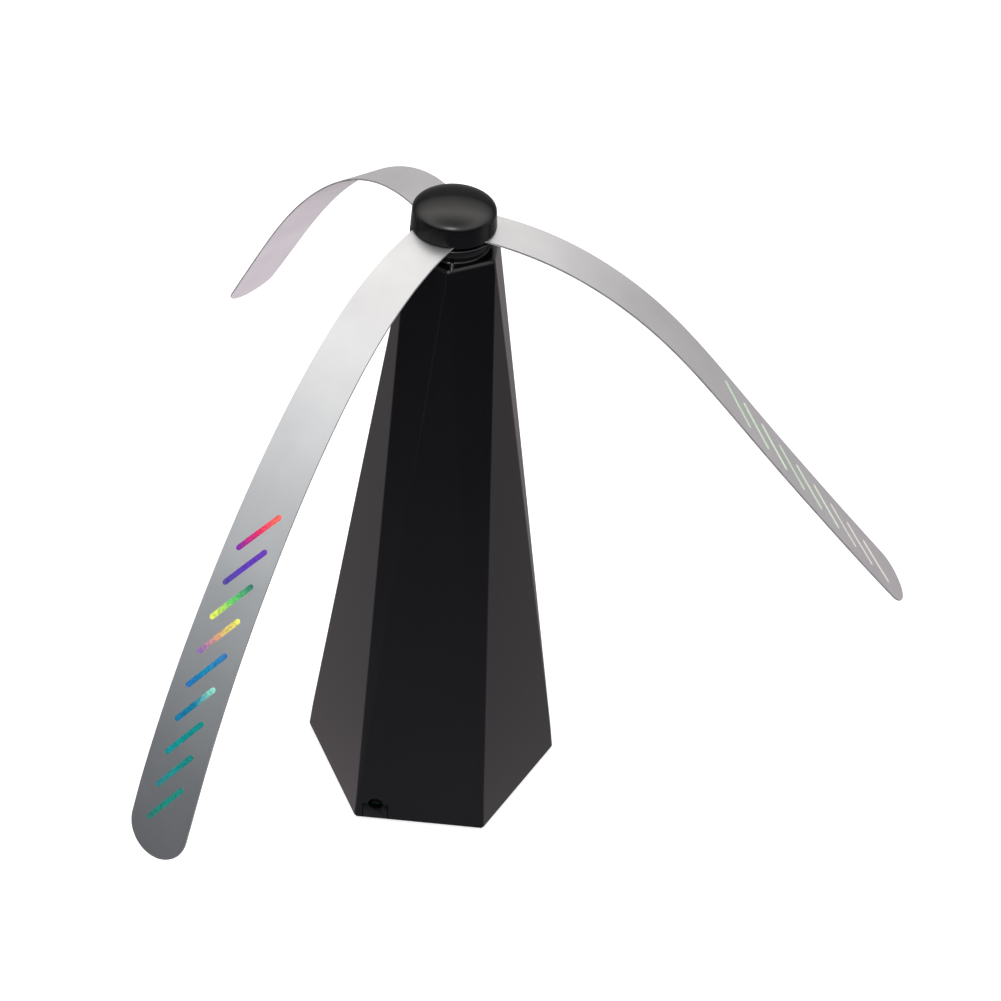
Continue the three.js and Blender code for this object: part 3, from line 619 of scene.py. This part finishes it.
def tower_wall():
    """The hollow tower with a rounded foot and rim, as one closed skin."""
    def outer_loop(z, inset=0.0):
        return tower_loop(BASE_R, TOP_R, TOWER_H, z, RIDGE_ROUND, inset)

    low, high = tower_levels(BASE_R, TOP_R, TOWER_H, RIDGE_ROUND)
    outer = []
    for degrees in (90, 60, 30, 0):
        inset, rise = fillet(FOOT_FILLET, degrees)
        outer.append(outer_loop(rise, inset))
    outer += [outer_loop(low), outer_loop(high)]
    for degrees in range(0, 91, 15):
        inset, drop = fillet(RIM_FILLET, degrees)
        outer.append(outer_loop(TOWER_H - drop, inset))
    low, high = tower_levels(INNER_BASE_R, INNER_TOP_R, INNER_TOP, INNER_ROUND)
    inner = [tower_loop(INNER_BASE_R, INNER_TOP_R, INNER_TOP, z, INNER_ROUND)
             for z in (INNER_TOP, high, low, 0)]
    points, (_, top_cap, *sides) = skin(outer)
    room_points, (ceiling, _, *room_sides) = skin(inner)
    start = len(points)
    n = len(outer[0])
    end = start + len(room_points) - n
    faces = [top_cap, *sides]
    faces += [tuple(start + corner for corner in face) for face in (ceiling, *room_sides)]
    faces += [(k, (k + 1) % n, end + (k + 1) % n, end + k) for k in range(n)]
    return points + room_points, faces


def on_front_facet(shape):
    """Puts a shape drawn in the facet's own plane, with z outwards, on the front facet."""
    up = Vector((0, math.sin(FACET_TILT), math.cos(FACET_TILT)))
    out = Vector((0, -math.cos(FACET_TILT), math.sin(FACET_TILT)))
    matrix = Matrix((Vector((1, 0, 0)), up, out)).transposed().to_4x4()
    matrix.translation = Vector((JACK_X, -APOTHEM, 0))
    return placed(shape, matrix)


def collar_plug():
    """The round collar on the tower's rim, still solid."""
    r, root, top, edge = COLLAR["r"], COLLAR["root"], COLLAR["top"], COLLAR["edge"]
    return turned([(0, root), (r + edge, root), (r + edge, TOWER_H - 0.1), (r + 0.12, TOWER_H + 0.3),
                   (r, TOWER_H + 0.6), (r, top - edge), (r - 0.13, top - 0.13), (r - edge, top),
                   (0, top)], 72)


def add_tower_shell():
    lean = Matrix.Translation(GUSSET["at"]) @ Matrix.Rotation(math.radians(GUSSET["lean"]), 4, "X")
    gusset = rod(GUSSET["r"], -GUSSET["half"], GUSSET["half"], sides=72, chamfer=0.3)
    solids = [collar_plug(), block(*RIM_RIB["x"], *RIM_RIB["y"], *RIM_RIB["z"]), placed(gusset, lean)]
    web = block(*BOSS["web"], -BOSS["web_half"], BOSS["web_half"], *BOSS["z"])
    for angle in SCREW_ANGLES:
        solids.append(rod(BOSS["r"], *BOSS["z"], *on_circle(SCREW_CIRCLE, angle)))
        solids.append(placed(web, about_z(angle)))
    half = TAB_W / 2 + SEEN_SEAM
    holes = [rod(COLLAR["bore"], 230, 243, sides=48), rod(COLLAR["room"], COLLAR["floor"], 243, sides=64),
             on_front_facet(block(-half, half, -1, TAB_TOP + SEAM, -6, 3)),
             lying("Y", JACK_HOLE_R, -50, -38, JACK_X, 0, JACK_Z, sides=48)]
    for angle in SCREW_ANGLES:
        holes.append(rod(BOSS["hole_r"], 0, BOSS["hole_top"], *on_circle(SCREW_CIRCLE, angle)))
    for y in (-FIX_Y, FIX_Y):
        solids.append(rod(POST["r"], *POST["z"], 0, y))
        holes.append(rod(POST["hole_r"], 180, POST["hole_top"], 0, y))
    steps = [("UNION", solid) for solid in solids] + [("DIFFERENCE", hole) for hole in holes]
    mesh = combine(mesh_of("tower_shell_fine", tower_wall()), *steps)
    piece("tower_shell_fine", mesh, "tower", "shell", ["tower_shell"], smooth=0)


# ------ fasteners and feet
def thread(r, z0, z1, pitch):
    """Profile points of a screw thread as close rings, on the way up."""
    points = []
    z = z0
    while z + pitch < z1:
        points += [(r * 0.8, z), (r, z + pitch / 2)]
        z += pitch
    return points


def cross_recess(size, z0, z1):
    arm = block(-size, size, -size * 0.24, size * 0.24, z0, z1)
    return [arm, placed(arm, about_z(90))]


def screw_mesh(name, size, x, y):
    """A pan-head screw with its head below, a cross recess and a pointed tip."""
    r, head_r, top = size["r"], size["head_r"], size["top"]
    bottom, neck = size["head"]
    soft = 0.3
    profile = [(0, bottom), (head_r - 2 * soft, bottom), (head_r - 0.6 * soft, bottom + 0.4 * soft),
               (head_r, bottom + soft), (head_r, neck), (r, neck),
               *thread(r, neck + 0.4, top - 1.2, size["pitch"]), (0.7 * r, top - 1), (0, top)]
    recess = cross_recess(0.55 * head_r, bottom - 1, bottom + 0.6)
    mesh = combine(mesh_of(name, turned(profile, 48)), *[("DIFFERENCE", arm) for arm in recess])
    mesh.transform(Matrix.Translation(Vector((x, y, 0)) * MM))
    return mesh


def add_fasteners():
    screws = [(f"cover_screw_{i + 1}", COVER_SCREW, on_circle(SCREW_CIRCLE, angle))
              for i, angle in enumerate(SCREW_ANGLES)]
    screws += [(f"gearbox_screw_{i + 1}", GEARBOX_SCREW, (0, y)) for i, y in enumerate((-FIX_Y, FIX_Y))]
    for name, size, (x, y) in screws:
        piece(name + "_fine", screw_mesh(name, size, x, y), "tower", "screw", [name])
    r, bottom, top, soft = FOOT["r"], FOOT["bottom"], FOOT["top"], FOOT["soft"]
    dish = bottom + FOOT["dish"]
    pad = turned([(0, dish), (r - 1.1, dish), (r - 0.8, bottom), (r - 0.4, bottom), (r - soft, dish),
                  (r, bottom + 0.4), (r, top - soft), (r - soft, top), (0, top)], 56)
    for i, angle in enumerate(FOOT_ANGLES):
        name = f"foot_pad_{i + 1}"
        mesh = mesh_of(name, moved(pad, *on_circle(FOOT_CIRCLE, angle), 0))
        piece(name + "_fine", mesh, "tower", "rubber", [name])
    half = HINGE_PIN["half"]
    pin = lying("X", HINGE_PIN["r"], -half, half, 0, HINGE_PIN["y"], HINGE_PIN["z"], chamfer=0.15)
    piece("door_hinge_pin_fine", mesh_of("pin", pin), "tower", "steel", ["door_hinge_pin"])


# ------ power
def add_cell(name, x, nub_up):
    """A dry cell: a sleeve rolled over both ends, a steel button and a dished steel base."""
    r, body, nub, nub_r = CELL["r"], CELL["body"], CELL["nub"], CELL["nub_r"]
    sleeve_end = r - 1.2
    profile = [(0, 0.25), (r - 2.2, 0.25), (r - 1.8, 0), (r - 0.5, 0), (r - 0.15, 0.15), (r, 0.5),
               (r, body - 0.5), (r - 0.15, body - 0.15), (r - 0.5, body), (sleeve_end, body),
               (r - 1.5, body - 0.3), (nub_r + 0.3, body - 0.3), (nub_r, body), (nub_r, body + nub - 0.3),
               (nub_r - 0.3, body + nub), (0, body + nub)]
    points, faces = turned(profile, 64)
    length = body + nub
    if not nub_up:
        points = [(px, -py, length - pz) for px, py, pz in points]
    mesh = mesh_of(name, moved((points, faces), x, CELL["y"], CELL["z"]))
    piece(name + "_fine", mesh, "tower", "sleeve", [name])
    mesh.materials.append(MATERIALS["nickel"])
    middle = Vector((x, CELL["y"], 0)) * MM
    for polygon in mesh.polygons:
        offset = polygon.center - middle
        if math.hypot(offset.x, offset.y) < sleeve_end * MM:
            polygon.material_index = 1


def add_power():
    x, y = CELL["x"], CELL["y"]
    add_cell("cell_1", -x, True)
    add_cell("cell_2", x, False)
    top = CELL["z"] + CELL["body"] + CELL["nub"]
    coil = tube(helix(3, 2.2, 3.4, top + 0.6, top + 2, 90, x, y), SPRING_WIRE)
    piece("minus_spring_fine", mesh_of("spring", coil), "tower", "nickel", ["minus_spring"], 60)
    coil = tube(helix(2.5, 3, 2.2, 2.9, 4.2, 80, -x, y), SPRING_WIRE)
    piece("bridge_spring_fine", mesh_of("spring", coil), "door", "nickel", ["bridge_spring"], 60)
    for node, body in (("contact_plus", "tower"), ("contact_minus", "tower"), ("bridge_contact", "door")):
        finer(node, body, "nickel", 0.12)
    for name, side, slot, material in (("lead_red", -1, "red_insulation", "red"),
                                       ("lead_black", 1, "black_insulation", "lead_black")):
        knots = [(side * knot[0], *knot[1:]) for knot in LEAD_ROUTE]
        wire = tube(smooth_path(knots, 12), LEAD_R, 14)
        piece(name + "_fine", mesh_of(name, wire), "tower", material, [name], 60)


# ------ socket, board, switch, covers
def add_underside():
    finer("bottom_cover", "tower", "shell", 0.18)
    ridges = []
    for i in range(GRIPS["count"]):
        y = GRIPS["first"] + GRIPS["pitch"] * i
        ridge = lying("X", GRIPS["r"], -GRIPS["half"], GRIPS["half"], 0, y, GRIPS["z"], 20, 0.3)
        ridges.append(("UNION", ridge))
    finer("battery_door", "door", "shell", 0.2, ridges)
    finer("switch_body", "tower", "black", 0.15)
    grooves = []
    for i in range(KNOB_GROOVES["count"]):
        x = KNOB_GROOVES["first"] + KNOB_GROOVES["pitch"] * i
        groove = lying("Y", KNOB_GROOVES["r"], *KNOB_GROOVES["y"], x, 0, KNOB_GROOVES["z"], sides=16)
        grooves.append(("DIFFERENCE", groove))
    finer("switch_knob", "switch", "dark", 0.2, grooves)


def add_jack():
    finer("dc_jack", "tower", "black", 0.15)
    pin = turned([(0, -27), (0.85, -27), (0.85, -37.4), (0.6, -37.85), (0.3, -38), (0, -38)], 32)
    mesh = mesh_of("jack_pin", placed(pin, turned_to("Y", JACK_X, 0, JACK_Z)))
    piece("dc_jack_pin_fine", mesh, "tower", "nickel", ["dc_jack_pin"])


def add_board():
    finer("circuit_board", "tower", "board", 0.08)
    chip = mesh_of("chip", block(*CHIP["x"], *CHIP["y"], BOARD_TOP, CHIP["top"]))
    piece("board_chip", rounded(chip, 0.15), "tower", "black")
    r, groove, top = CAPACITOR["r"], CAPACITOR["groove"], CAPACITOR["top"]
    can = turned([(0, BOARD_TOP), (r - 0.2, BOARD_TOP), (r, BOARD_TOP + 0.2), (r, groove - 0.2),
                  (r - 0.15, groove), (r, groove + 0.2), (r, top - 0.2), (r - 0.2, top), (0, top)], 40)
    can = mesh_of("capacitor", moved(can, CAPACITOR["x"], CAPACITOR["y"], 0))
    piece("board_capacitor", can, "tower", "can")
    legs = []
    for side in (-1, 1):
        x = sum(CHIP["x"]) / 2 + side * CHIP_LEGS["out"]
        for k in range(CHIP_LEGS["a_side"]):
            y = CHIP_LEGS["first"] + CHIP_LEGS["pitch"] * k
            legs.append(block(x - CHIP_LEGS["half"], x + CHIP_LEGS["half"], y, y + CHIP_LEGS["width"],
                              BOARD_TOP, CHIP_LEGS["top"]))
    piece("board_chip_legs", mesh_of("legs", *legs), "tower", "solder")


# ------ motor and gearbox
def coil_path(degrees):
    """A winding's rounded loop round one tooth of the armature."""
    def squared(value, power):
        return math.copysign(abs(value) ** power, value)

    path = []
    for i in range(COIL["points"]):
        a = 2 * math.pi * i / COIL["points"]
        across = COIL["half_width"] * squared(math.cos(a), 0.5)
        height = COIL["half_height"] * squared(math.sin(a), 0.4)
        path.append(about_z(degrees) @ Vector((COIL["out"], across, COIL["middle"] + height)))
    return path


def add_motor():
    finer("motor_can", "tower", "can", 0.25)
    finer("motor_end_cap", "tower", "acetal", 0.2)
    for k in (1, 2):
        finer(f"motor_terminal_{k}", "tower", "brass", 0.08)
    for k in (1, 2):
        finer(f"field_magnet_{k}", "tower", "magnet", 0.2)
    finer("armature", "motor_rotor", "iron", 0.1)
    for k in range(COIL["count"]):
        coil = mesh_of("coil", tube(coil_path(360 / COIL["count"] * k), COIL["r"], 12, closed=True))
        piece(f"armature_coil_{k + 1}", coil, "motor_rotor", "copper", smooth=60)
    shaft = mesh_of("shaft", rod(MOTOR_SHAFT["r"], *MOTOR_SHAFT["z"], sides=48, chamfer=0.2))
    piece("motor_shaft_fine", shaft, "motor_rotor", "steel", ["motor_shaft"])
    finer("motor_pinion", "motor_rotor", "brass", 0.05, segments=1)
    finer("lay_gear", "lay_shaft", "acetal", 0.05, segments=1)
    finer("output_gear", "rotor", "acetal", 0.05, segments=1)
    pin = mesh_of("lay_pin", rod(LAY_PIN["r"], *LAY_PIN["z"], LAY_PIN["x"], 0, sides=40, chamfer=0.15))
    piece("lay_pin_fine", pin, "tower", "steel", ["lay_pin"])
    finer("gearbox_base", "tower", "dark", 0.2)
    finer("gearbox_lid", "tower", "dark", 0.2)


def add_shaft():
    r = SHAFT_R
    shaft = turned([(0, 180.4), (r - 0.25, 180.4), (r, 180.65), (r, 249.3), (r - 0.2, 249.5), (1.2, 249.5),
                    (1.2, 244), (0, 244)], 56)
    piece("output_shaft_fine", mesh_of("shaft", shaft), "rotor", "steel", ["output_shaft"])
    bush = turned([(2.09, 233), (4.7, 233), (4.9, 233.2), (4.9, 240.3), (6.2, 240.3), (6.4, 240.4),
                   (6.4, 240.75), (6.2, 240.9), (2.3, 240.9), (2.09, 240.7), (2.09, 233)], 64)
    piece("top_bush_fine", mesh_of("bush", bush), "tower", "brass", ["top_bush"])
    washer = turned([(2.3, 241.2), (4.4, 241.2), (4.5, 241.3), (4.5, 241.5), (4.4, 241.6), (2.3, 241.6),
                     (2.3, 241.2)], 56)
    piece("thrust_washer_fine", mesh_of("washer", washer), "rotor", "nickel", ["thrust_washer"])


# ------ hub
def add_hub():
    r, bottom, rim, top, soft = DISC["r"], DISC["bottom"], DISC["rim"], DISC["top"], DISC["soft"]
    profile = [(2.3, 241.9), (5.4, 241.9), (5.8, bottom),
               *arc_points(soft, r - soft, bottom + soft, -90, 0, 6),
               *arc_points(soft, r - soft, rim - soft, 0, 90, 6), (10.8, top), (4.4, top),
               (4.2, top + 0.3), (4.2, 250.1), (3.9, 250.4), (2.3, 250.4), (2.3, 241.9)]
    pegs = [("UNION", rod(1.2, top - 0.5, 247, *on_circle(PEG_CIRCLE, b["azimuth"]), chamfer=0.25))
            for b in BLADES]
    mesh = combine(mesh_of("hub_disc", turned(profile, 96)), *pegs)
    piece("hub_disc_fine", mesh, "rotor", "hub", ["hub_disc"])


def dome(r, shoulder, top, steps):
    """Quarter ellipse from the shoulder to the crown, as (radius, z) points."""
    angles = [math.pi / 2 * i / steps for i in range(steps)]
    return [(r * math.cos(a), shoulder + (top - shoulder) * math.sin(a)) for a in angles] + [(0, top)]


def add_cap():
    r, wall, soft = CAP["r"], CAP["wall"], CAP["soft"]
    rim, shoulder, top = CAP["rim"], CAP["shoulder"], CAP["top"]
    outer = [(r - wall, rim), (r - soft, rim), (r, rim + soft), *dome(CAP["shoulder_r"], shoulder, top, 28)]
    inner = dome(CAP["shoulder_r"] - wall, shoulder - 0.6, top - wall, 16)
    profile = [*outer, *reversed(inner), (r - wall, rim)]
    half = WIDTH_ROOT / 2 + 0.5
    notch = block(4, 20, -half, half, rim - 1, BLADE_Z + BLADE_T / 2 + 0.3)
    notches = [("DIFFERENCE", placed(notch, about_z(b["azimuth"]))) for b in BLADES]
    mesh = combine(mesh_of("hub_cap", turned(profile, 128)), *notches)
    piece("hub_cap_fine", mesh, "rotor", "hub", ["hub_cap"])


def add_hub_screw():
    profile = [(0, 245), (0.85, 245.6), *thread(0.9, 246, 250.2, 0.6), (0.85, 250.7), (3, 250.7),
               (3, 251.3), (2.7, 251.6), (0, 251.9)]
    recess = cross_recess(1.6, 251.2, 253)
    screw = combine(mesh_of("hub_screw", turned(profile, 48)), *[("DIFFERENCE", arm) for arm in recess])
    piece("hub_screw_fine", screw, "rotor", "screw", ["hub_screw"])


# ------ blades
def eased_pitch(pitch, share):
    """Pitch angle at a share of the blade's length, eased between its stations."""
    last = len(PITCH_STATIONS) - 2
    i = 0
    while i < last and share > PITCH_STATIONS[i + 1]:
        i += 1
    width = PITCH_STATIONS[i + 1] - PITCH_STATIONS[i]

    def slope(k):
        a, b = max(k - 1, 0), min(k + 1, last + 1)
        return (pitch[b] - pitch[a]) / (PITCH_STATIONS[b] - PITCH_STATIONS[a])
    t = (share - PITCH_STATIONS[i]) / width
    h = (2 * t ** 3 - 3 * t ** 2 + 1, t ** 3 - 2 * t ** 2 + t, 3 * t ** 2 - 2 * t ** 3, t ** 3 - t ** 2)
    return h[0] * pitch[i] + h[1] * width * slope(i) + h[2] * pitch[i + 1] + h[3] * width * slope(i + 1)


class Blade:
    """The hanging strip: at(s, t, n) is the point s along it, t across and n above its middle."""

    STEP = 0.25                # between the points of its middle line
    BANK_EASE = 0.1            # the share of its length over which the bank sets in

    def __init__(self, azimuth, pitch, sweep, bank):
        self.turn = about_z(azimuth)
        self.pitch, self.sweep, self.bank = pitch, sweep, bank
        self.centres = [Vector((FREE_R, 0, BLADE_Z))]
        for i in range(int(BLADE_L / self.STEP) + 1):
            along = self.frame((i + 0.5) * self.STEP / BLADE_L)[0]
            self.centres.append(self.centres[-1] + along * self.STEP)

    def frame(self, share):
        pitch = math.radians(eased_pitch(self.pitch, share))
        sweep = math.radians(self.sweep[0] + self.sweep[1] * share)
        bank = self.bank[0] + (self.bank[1] - self.bank[0]) * share
        bank = math.radians(bank) * min(share / self.BANK_EASE, 1)
        along = Vector((math.cos(pitch) * math.cos(sweep), math.cos(pitch) * math.sin(sweep),
                        math.sin(pitch)))
        level = Vector((-math.sin(sweep), math.cos(sweep), 0))
        across = level * math.cos(bank) + along.cross(level) * math.sin(bank)
        return along, across, along.cross(across)

    def at(self, s, t, n):
        if s <= 0:
            return self.turn @ Vector((FREE_R + s, t, BLADE_Z + n))
        step = min(s / self.STEP, len(self.centres) - 1.001)
        i = int(step)
        centre = self.centres[i].lerp(self.centres[i + 1], step - i)
        _, across, normal = self.frame(min(s / BLADE_L, 1))
        return self.turn @ (centre + across * t + normal * n)


def half_width(s):
    share = min(max(s / (BLADE_L * FULL_AT), 0), 1)
    half = (WIDTH_ROOT + (WIDTH_FULL - WIDTH_ROOT) * share) / 2
    into_tip = max(s - (BLADE_L - TIP_ROUND), 0) / TIP_ROUND
    return half * math.sqrt(1 - min(into_tip, 0.998) ** 2)


def blade_stations():
    """Distances along the strip where its skin has a loop, closer together round the tip."""
    straight = BLADE_L - TIP_ROUND
    stations = [-ROOT_IN, -ROOT_IN + 3]
    stations += [straight * i / 112 for i in range(113)]
    stations += [straight + TIP_ROUND * math.sin(math.pi / 2 * i / 16) for i in range(1, 17)]
    return stations


# The cut edge is slimmer than this, and no face on it is longer than this.
EDGE_WIDTH, EDGE_LENGTH = 0.34, 3


def on_cut_edge(mesh, polygon):
    sides = [(mesh.vertices[a].co - mesh.vertices[b].co).length for a, b in polygon.edge_keys]
    return len(sides) == 4 and min(sides) <= EDGE_WIDTH * MM and max(sides) < EDGE_LENGTH * MM


def add_blade(number, blade):
    """The thin film strip, with cut edges a little darker than its faces."""
    edge = 0.12
    thick = BLADE_T / 2
    inside = (-1, -0.7, -0.4, -0.1, 0.2, 0.5, 0.75, 1)
    rows = []
    for s in blade_stations():
        half = half_width(s)
        top = [blade.at(s, share * (half - edge), thick) for share in inside]
        low = [blade.at(s, share * (half - edge), -thick) for share in reversed(inside)]
        rows.append([*top, blade.at(s, half, 0), *low, blade.at(s, -half, 0)])
    name = f"blade_{number}"
    hole = placed(rod(1.5, 240, 248, PEG_CIRCLE, 0), blade.turn)
    mesh = combine(mesh_of(name, skin(rows)), ("DIFFERENCE", hole))
    piece(name + "_fine", mesh, "rotor", "film", [name], smooth=50)
    mesh.materials.append(MATERIALS["film_edge"])
    for polygon in mesh.polygons:
        if on_cut_edge(mesh, polygon):
            polygon.material_index = 1


# A mark's section as (share of its half width, share of its lift), all round it.
MARK_SECTION = ((-1, -0.4), (-0.5, 1), (0, 1), (0.5, 1), (1, -0.4),
                (1, -1), (0.5, -1), (0, -1), (-0.5, -1), (-1, -1))
MARK_STEPS = 30


def add_marks(number, blade, material):
    """The foil marks on one blade, with a shade that runs along each of them."""
    along = Vector((-MARKS["run"], MARKS["rise"]))
    reach = along.length + MARKS["half"]
    along.normalize()
    aside = Vector((-along.y, along.x))
    shapes, shades = [], []
    for mark in range(MARKS["count"]):
        middle = Vector((MARKS["first"] + MARKS["pitch"] * mark, 0))
        rows = []
        for i in range(MARK_STEPS + 1):
            a = -reach * math.cos(math.pi * i / MARK_STEPS)
            past = max(abs(a) - (reach - MARKS["half"]), 0) / MARKS["half"]
            half = MARKS["half"] * math.sqrt(max(1 - past ** 2, 0.0004))
            row = []
            for share, rise in MARK_SECTION:
                s, t = middle + along * a + aside * half * share
                row.append(tuple(blade.at(s, t, BLADE_T / 2 + rise * MARKS["lift"])))
            rows.append(row)
            shades += [(mark + 0.5 + (0.5 - FOIL_MARGIN) * a / reach) / MARKS["count"]] * len(row)
        shapes.append(skin(rows))
    mesh = mesh_of(f"foil_marks_{number}", *shapes)
    attribute = mesh.attributes.new("shade", "FLOAT", "POINT")
    attribute.data.foreach_set("value", shades)
    piece(f"foil_marks_{number}", mesh, "rotor", material, smooth=50)


# ------ studio
CAMERA_AT = Vector((0.0279, -0.3969, 0.5065))
CAMERA_TOWARDS = Vector((-0.01322, 0.72889, -0.68450))
CAMERA_ROLL = math.radians(4.65)
LENS = 56.05


def make_camera():
    data = bpy.data.cameras.new("photo_camera")
    data.lens = LENS
    data.sensor_width = 36
    data.clip_start = 0.01
    camera = add_object("photo_camera", data)
    look = CAMERA_TOWARDS.to_track_quat("-Z", "Y").to_matrix().to_4x4()
    camera.matrix_world = Matrix.Translation(CAMERA_AT) @ look @ Matrix.Rotation(CAMERA_ROLL, 4, "Z")
    bpy.context.scene.camera = camera


def add_to_stage(name, mesh, paint):
    mesh.materials.append(paint.material)
    obj = add_object(name, mesh)
    return obj


# The floor's half side in metres, its height, and how far the contact shadow keeps inside the base.
FLOOR_REACH = 4.0
FLOOR_Z = CAD_BOX[0][2] / MM - 0.2
SHADOW_INSET = 0.8


def make_floor():
    reach, z = FLOOR_REACH, FLOOR_Z * MM
    mesh = bpy.data.meshes.new("floor")
    corners = [(-reach, -reach, z), (reach, -reach, z), (reach, reach, z), (-reach, reach, z)]
    mesh.from_pydata(corners, [], [(0, 1, 2, 3)])
    paint = Paint("floor", Base_Color=(0.85, 0.85, 0.85, 1), Roughness=0.9, Emission_Color=(1, 1, 1, 1),
                  Emission_Strength=0.62)
    add_to_stage("floor", mesh, paint).visible_glossy = False


def make_contact_shadow():
    """A thin dark slab under the base, for the line of shadow where it meets the floor."""
    slab = rod((APOTHEM - SHADOW_INSET) / COS30, FLOOR_Z - 0.05, FLOOR_Z + 0.02, sides=6)
    paint = Paint("contact_shadow", Base_Color=(0.01, 0.01, 0.01, 1), Roughness=1.0)
    add_to_stage("contact_shadow", mesh_of("contact_shadow", slab), paint)


# What the studio shows towards the front and towards the back, from straight down to straight up.
FRONT = ((0.0, (0.09, 0.088, 0.1)), (0.17, (0.12, 0.115, 0.135)), (0.31, (0.016, 0.016, 0.02)),
         (0.5, (0.018, 0.021, 0.027)), (0.56, (0.034, 0.042, 0.05)), (0.65, (0.12, 0.138, 0.145)),
         (0.7, (0.27, 0.29, 0.3)), (0.77, (0.47, 0.485, 0.49)), (0.87, (0.66, 0.66, 0.65)),
         (0.94, (0.55, 0.545, 0.54)), (1.0, (0.27, 0.265, 0.26)))
BACK = ((0.0, (0.56, 0.505, 0.535)), (0.07, (0.56, 0.505, 0.535)), (0.1, (0.48, 0.435, 0.457)),
        (0.13, (0.17, 0.153, 0.16)), (0.2, (0.172, 0.157, 0.164)), (0.3, (0.22, 0.203, 0.213)),
        (0.42, (0.29, 0.272, 0.28)), (0.5, (0.28, 0.265, 0.27)), (0.58, (0.24, 0.23, 0.232)),
        (0.66, (0.27, 0.262, 0.263)), (0.75, (0.46, 0.45, 0.445)), (0.84, (0.65, 0.63, 0.61)),
        (0.92, (0.82, 0.8, 0.775)), (1.0, (0.27, 0.265, 0.26)))
# The directions' Y between which the front gives way to the back.
SIDES = (-0.38, 0.42)
STUDIO_STRENGTH = 1.9
# A soft lamp above the camera, which only reflections show.
LAMP_TOWARDS = Vector((-0.06, -0.64, 0.77)).normalized()
LAMP_EDGE, LAMP_CORE = 15, 3
LAMP_STRENGTH = 7.0
BACKDROP_STRENGTH = 1.05


def range_over(tree, source, start, end, interpolation):
    """A node that turns a value that runs from start to end into one from 0 to 1."""
    node = tree.nodes.new("ShaderNodeMapRange")
    node.interpolation_type = interpolation
    node.inputs["From Min"].default_value = start
    node.inputs["From Max"].default_value = end
    tree.links.new(source, node.inputs["Value"])
    return node


def room_colour(tree, place):
    """The front's and the back's colours by height, blended at the sides."""
    link = tree.links.new
    split = tree.nodes.new("ShaderNodeSeparateXYZ")
    link(place, split.inputs["Vector"])
    height = range_over(tree, split.outputs["Z"], -1, 1, "LINEAR")
    side = range_over(tree, split.outputs["Y"], *SIDES, "SMOOTHSTEP")
    mix = tree.nodes.new("ShaderNodeMix")
    mix.data_type = "RGBA"
    link(side.outputs["Result"], mix.inputs["Factor"])
    for socket, stops in (("A", FRONT), ("B", BACK)):
        ramp = tree.nodes.new("ShaderNodeValToRGB")
        fill_ramp(ramp, stops)
        link(height.outputs["Result"], ramp.inputs["Fac"])
        link(ramp.outputs["Color"], mix.inputs[socket])
    return mix.outputs["Result"]


def lamp_strength(tree, place, is_reflection):
    """The lamp's strength by direction, zero for all but reflections."""
    link = tree.links.new
    towards = tree.nodes.new("ShaderNodeVectorMath")
    towards.operation = "DOT_PRODUCT"
    towards.inputs[1].default_value = LAMP_TOWARDS
    link(place, towards.inputs[0])
    edge, core = (math.cos(math.radians(angle)) for angle in (LAMP_EDGE, LAMP_CORE))
    glow = range_over(tree, towards.outputs["Value"], edge, core, "SMOOTHERSTEP")
    glow.inputs["To Max"].default_value = LAMP_STRENGTH
    reflected = tree.nodes.new("ShaderNodeMath")
    reflected.operation = "MULTIPLY"
    link(glow.outputs["Result"], reflected.inputs[0])
    link(is_reflection, reflected.inputs[1])
    return reflected.outputs["Value"]


def make_studio():
    """A room and a lamp that light the part, behind a plain white backdrop for the camera."""
    world = bpy.data.worlds.new("studio")
    bpy.context.scene.world = world
    world.use_nodes = True
    tree = world.node_tree
    link = tree.links.new
    place = tree.nodes.new("ShaderNodeTexCoord").outputs["Generated"]
    rays = tree.nodes.new("ShaderNodeLightPath")
    room = tree.nodes["Background"]
    room.inputs["Strength"].default_value = STUDIO_STRENGTH
    link(room_colour(tree, place), room.inputs["Color"])
    lamp = tree.nodes.new("ShaderNodeBackground")
    link(lamp_strength(tree, place, rays.outputs["Is Glossy Ray"]), lamp.inputs["Strength"])
    lit = tree.nodes.new("ShaderNodeAddShader")
    link(room.outputs["Background"], lit.inputs[0])
    link(lamp.outputs["Background"], lit.inputs[1])
    backdrop = tree.nodes.new("ShaderNodeBackground")
    backdrop.inputs["Color"].default_value = (1, 1, 1, 1)
    backdrop.inputs["Strength"].default_value = BACKDROP_STRENGTH
    choose = tree.nodes.new("ShaderNodeMixShader")
    link(rays.outputs["Is Camera Ray"], choose.inputs["Fac"])
    link(lit.outputs["Shader"], choose.inputs[1])
    link(backdrop.outputs["Background"], choose.inputs[2])
    link(choose.outputs["Shader"], tree.nodes["World Output"].inputs["Surface"])
    bpy.context.scene.view_settings.view_transform = "Standard"


make_camera()
make_floor()
make_contact_shadow()
make_studio()
add_tower_shell()
add_fasteners()
add_power()
add_underside()
add_jack()
add_board()
add_motor()
add_shaft()
add_hub()
add_cap()
add_hub_screw()
for index, settings in enumerate(BLADES):
    strip = Blade(**settings)
    add_blade(index + 1, strip)
    add_marks(index + 1, strip, "foil_pale" if index == 1 else "foil")
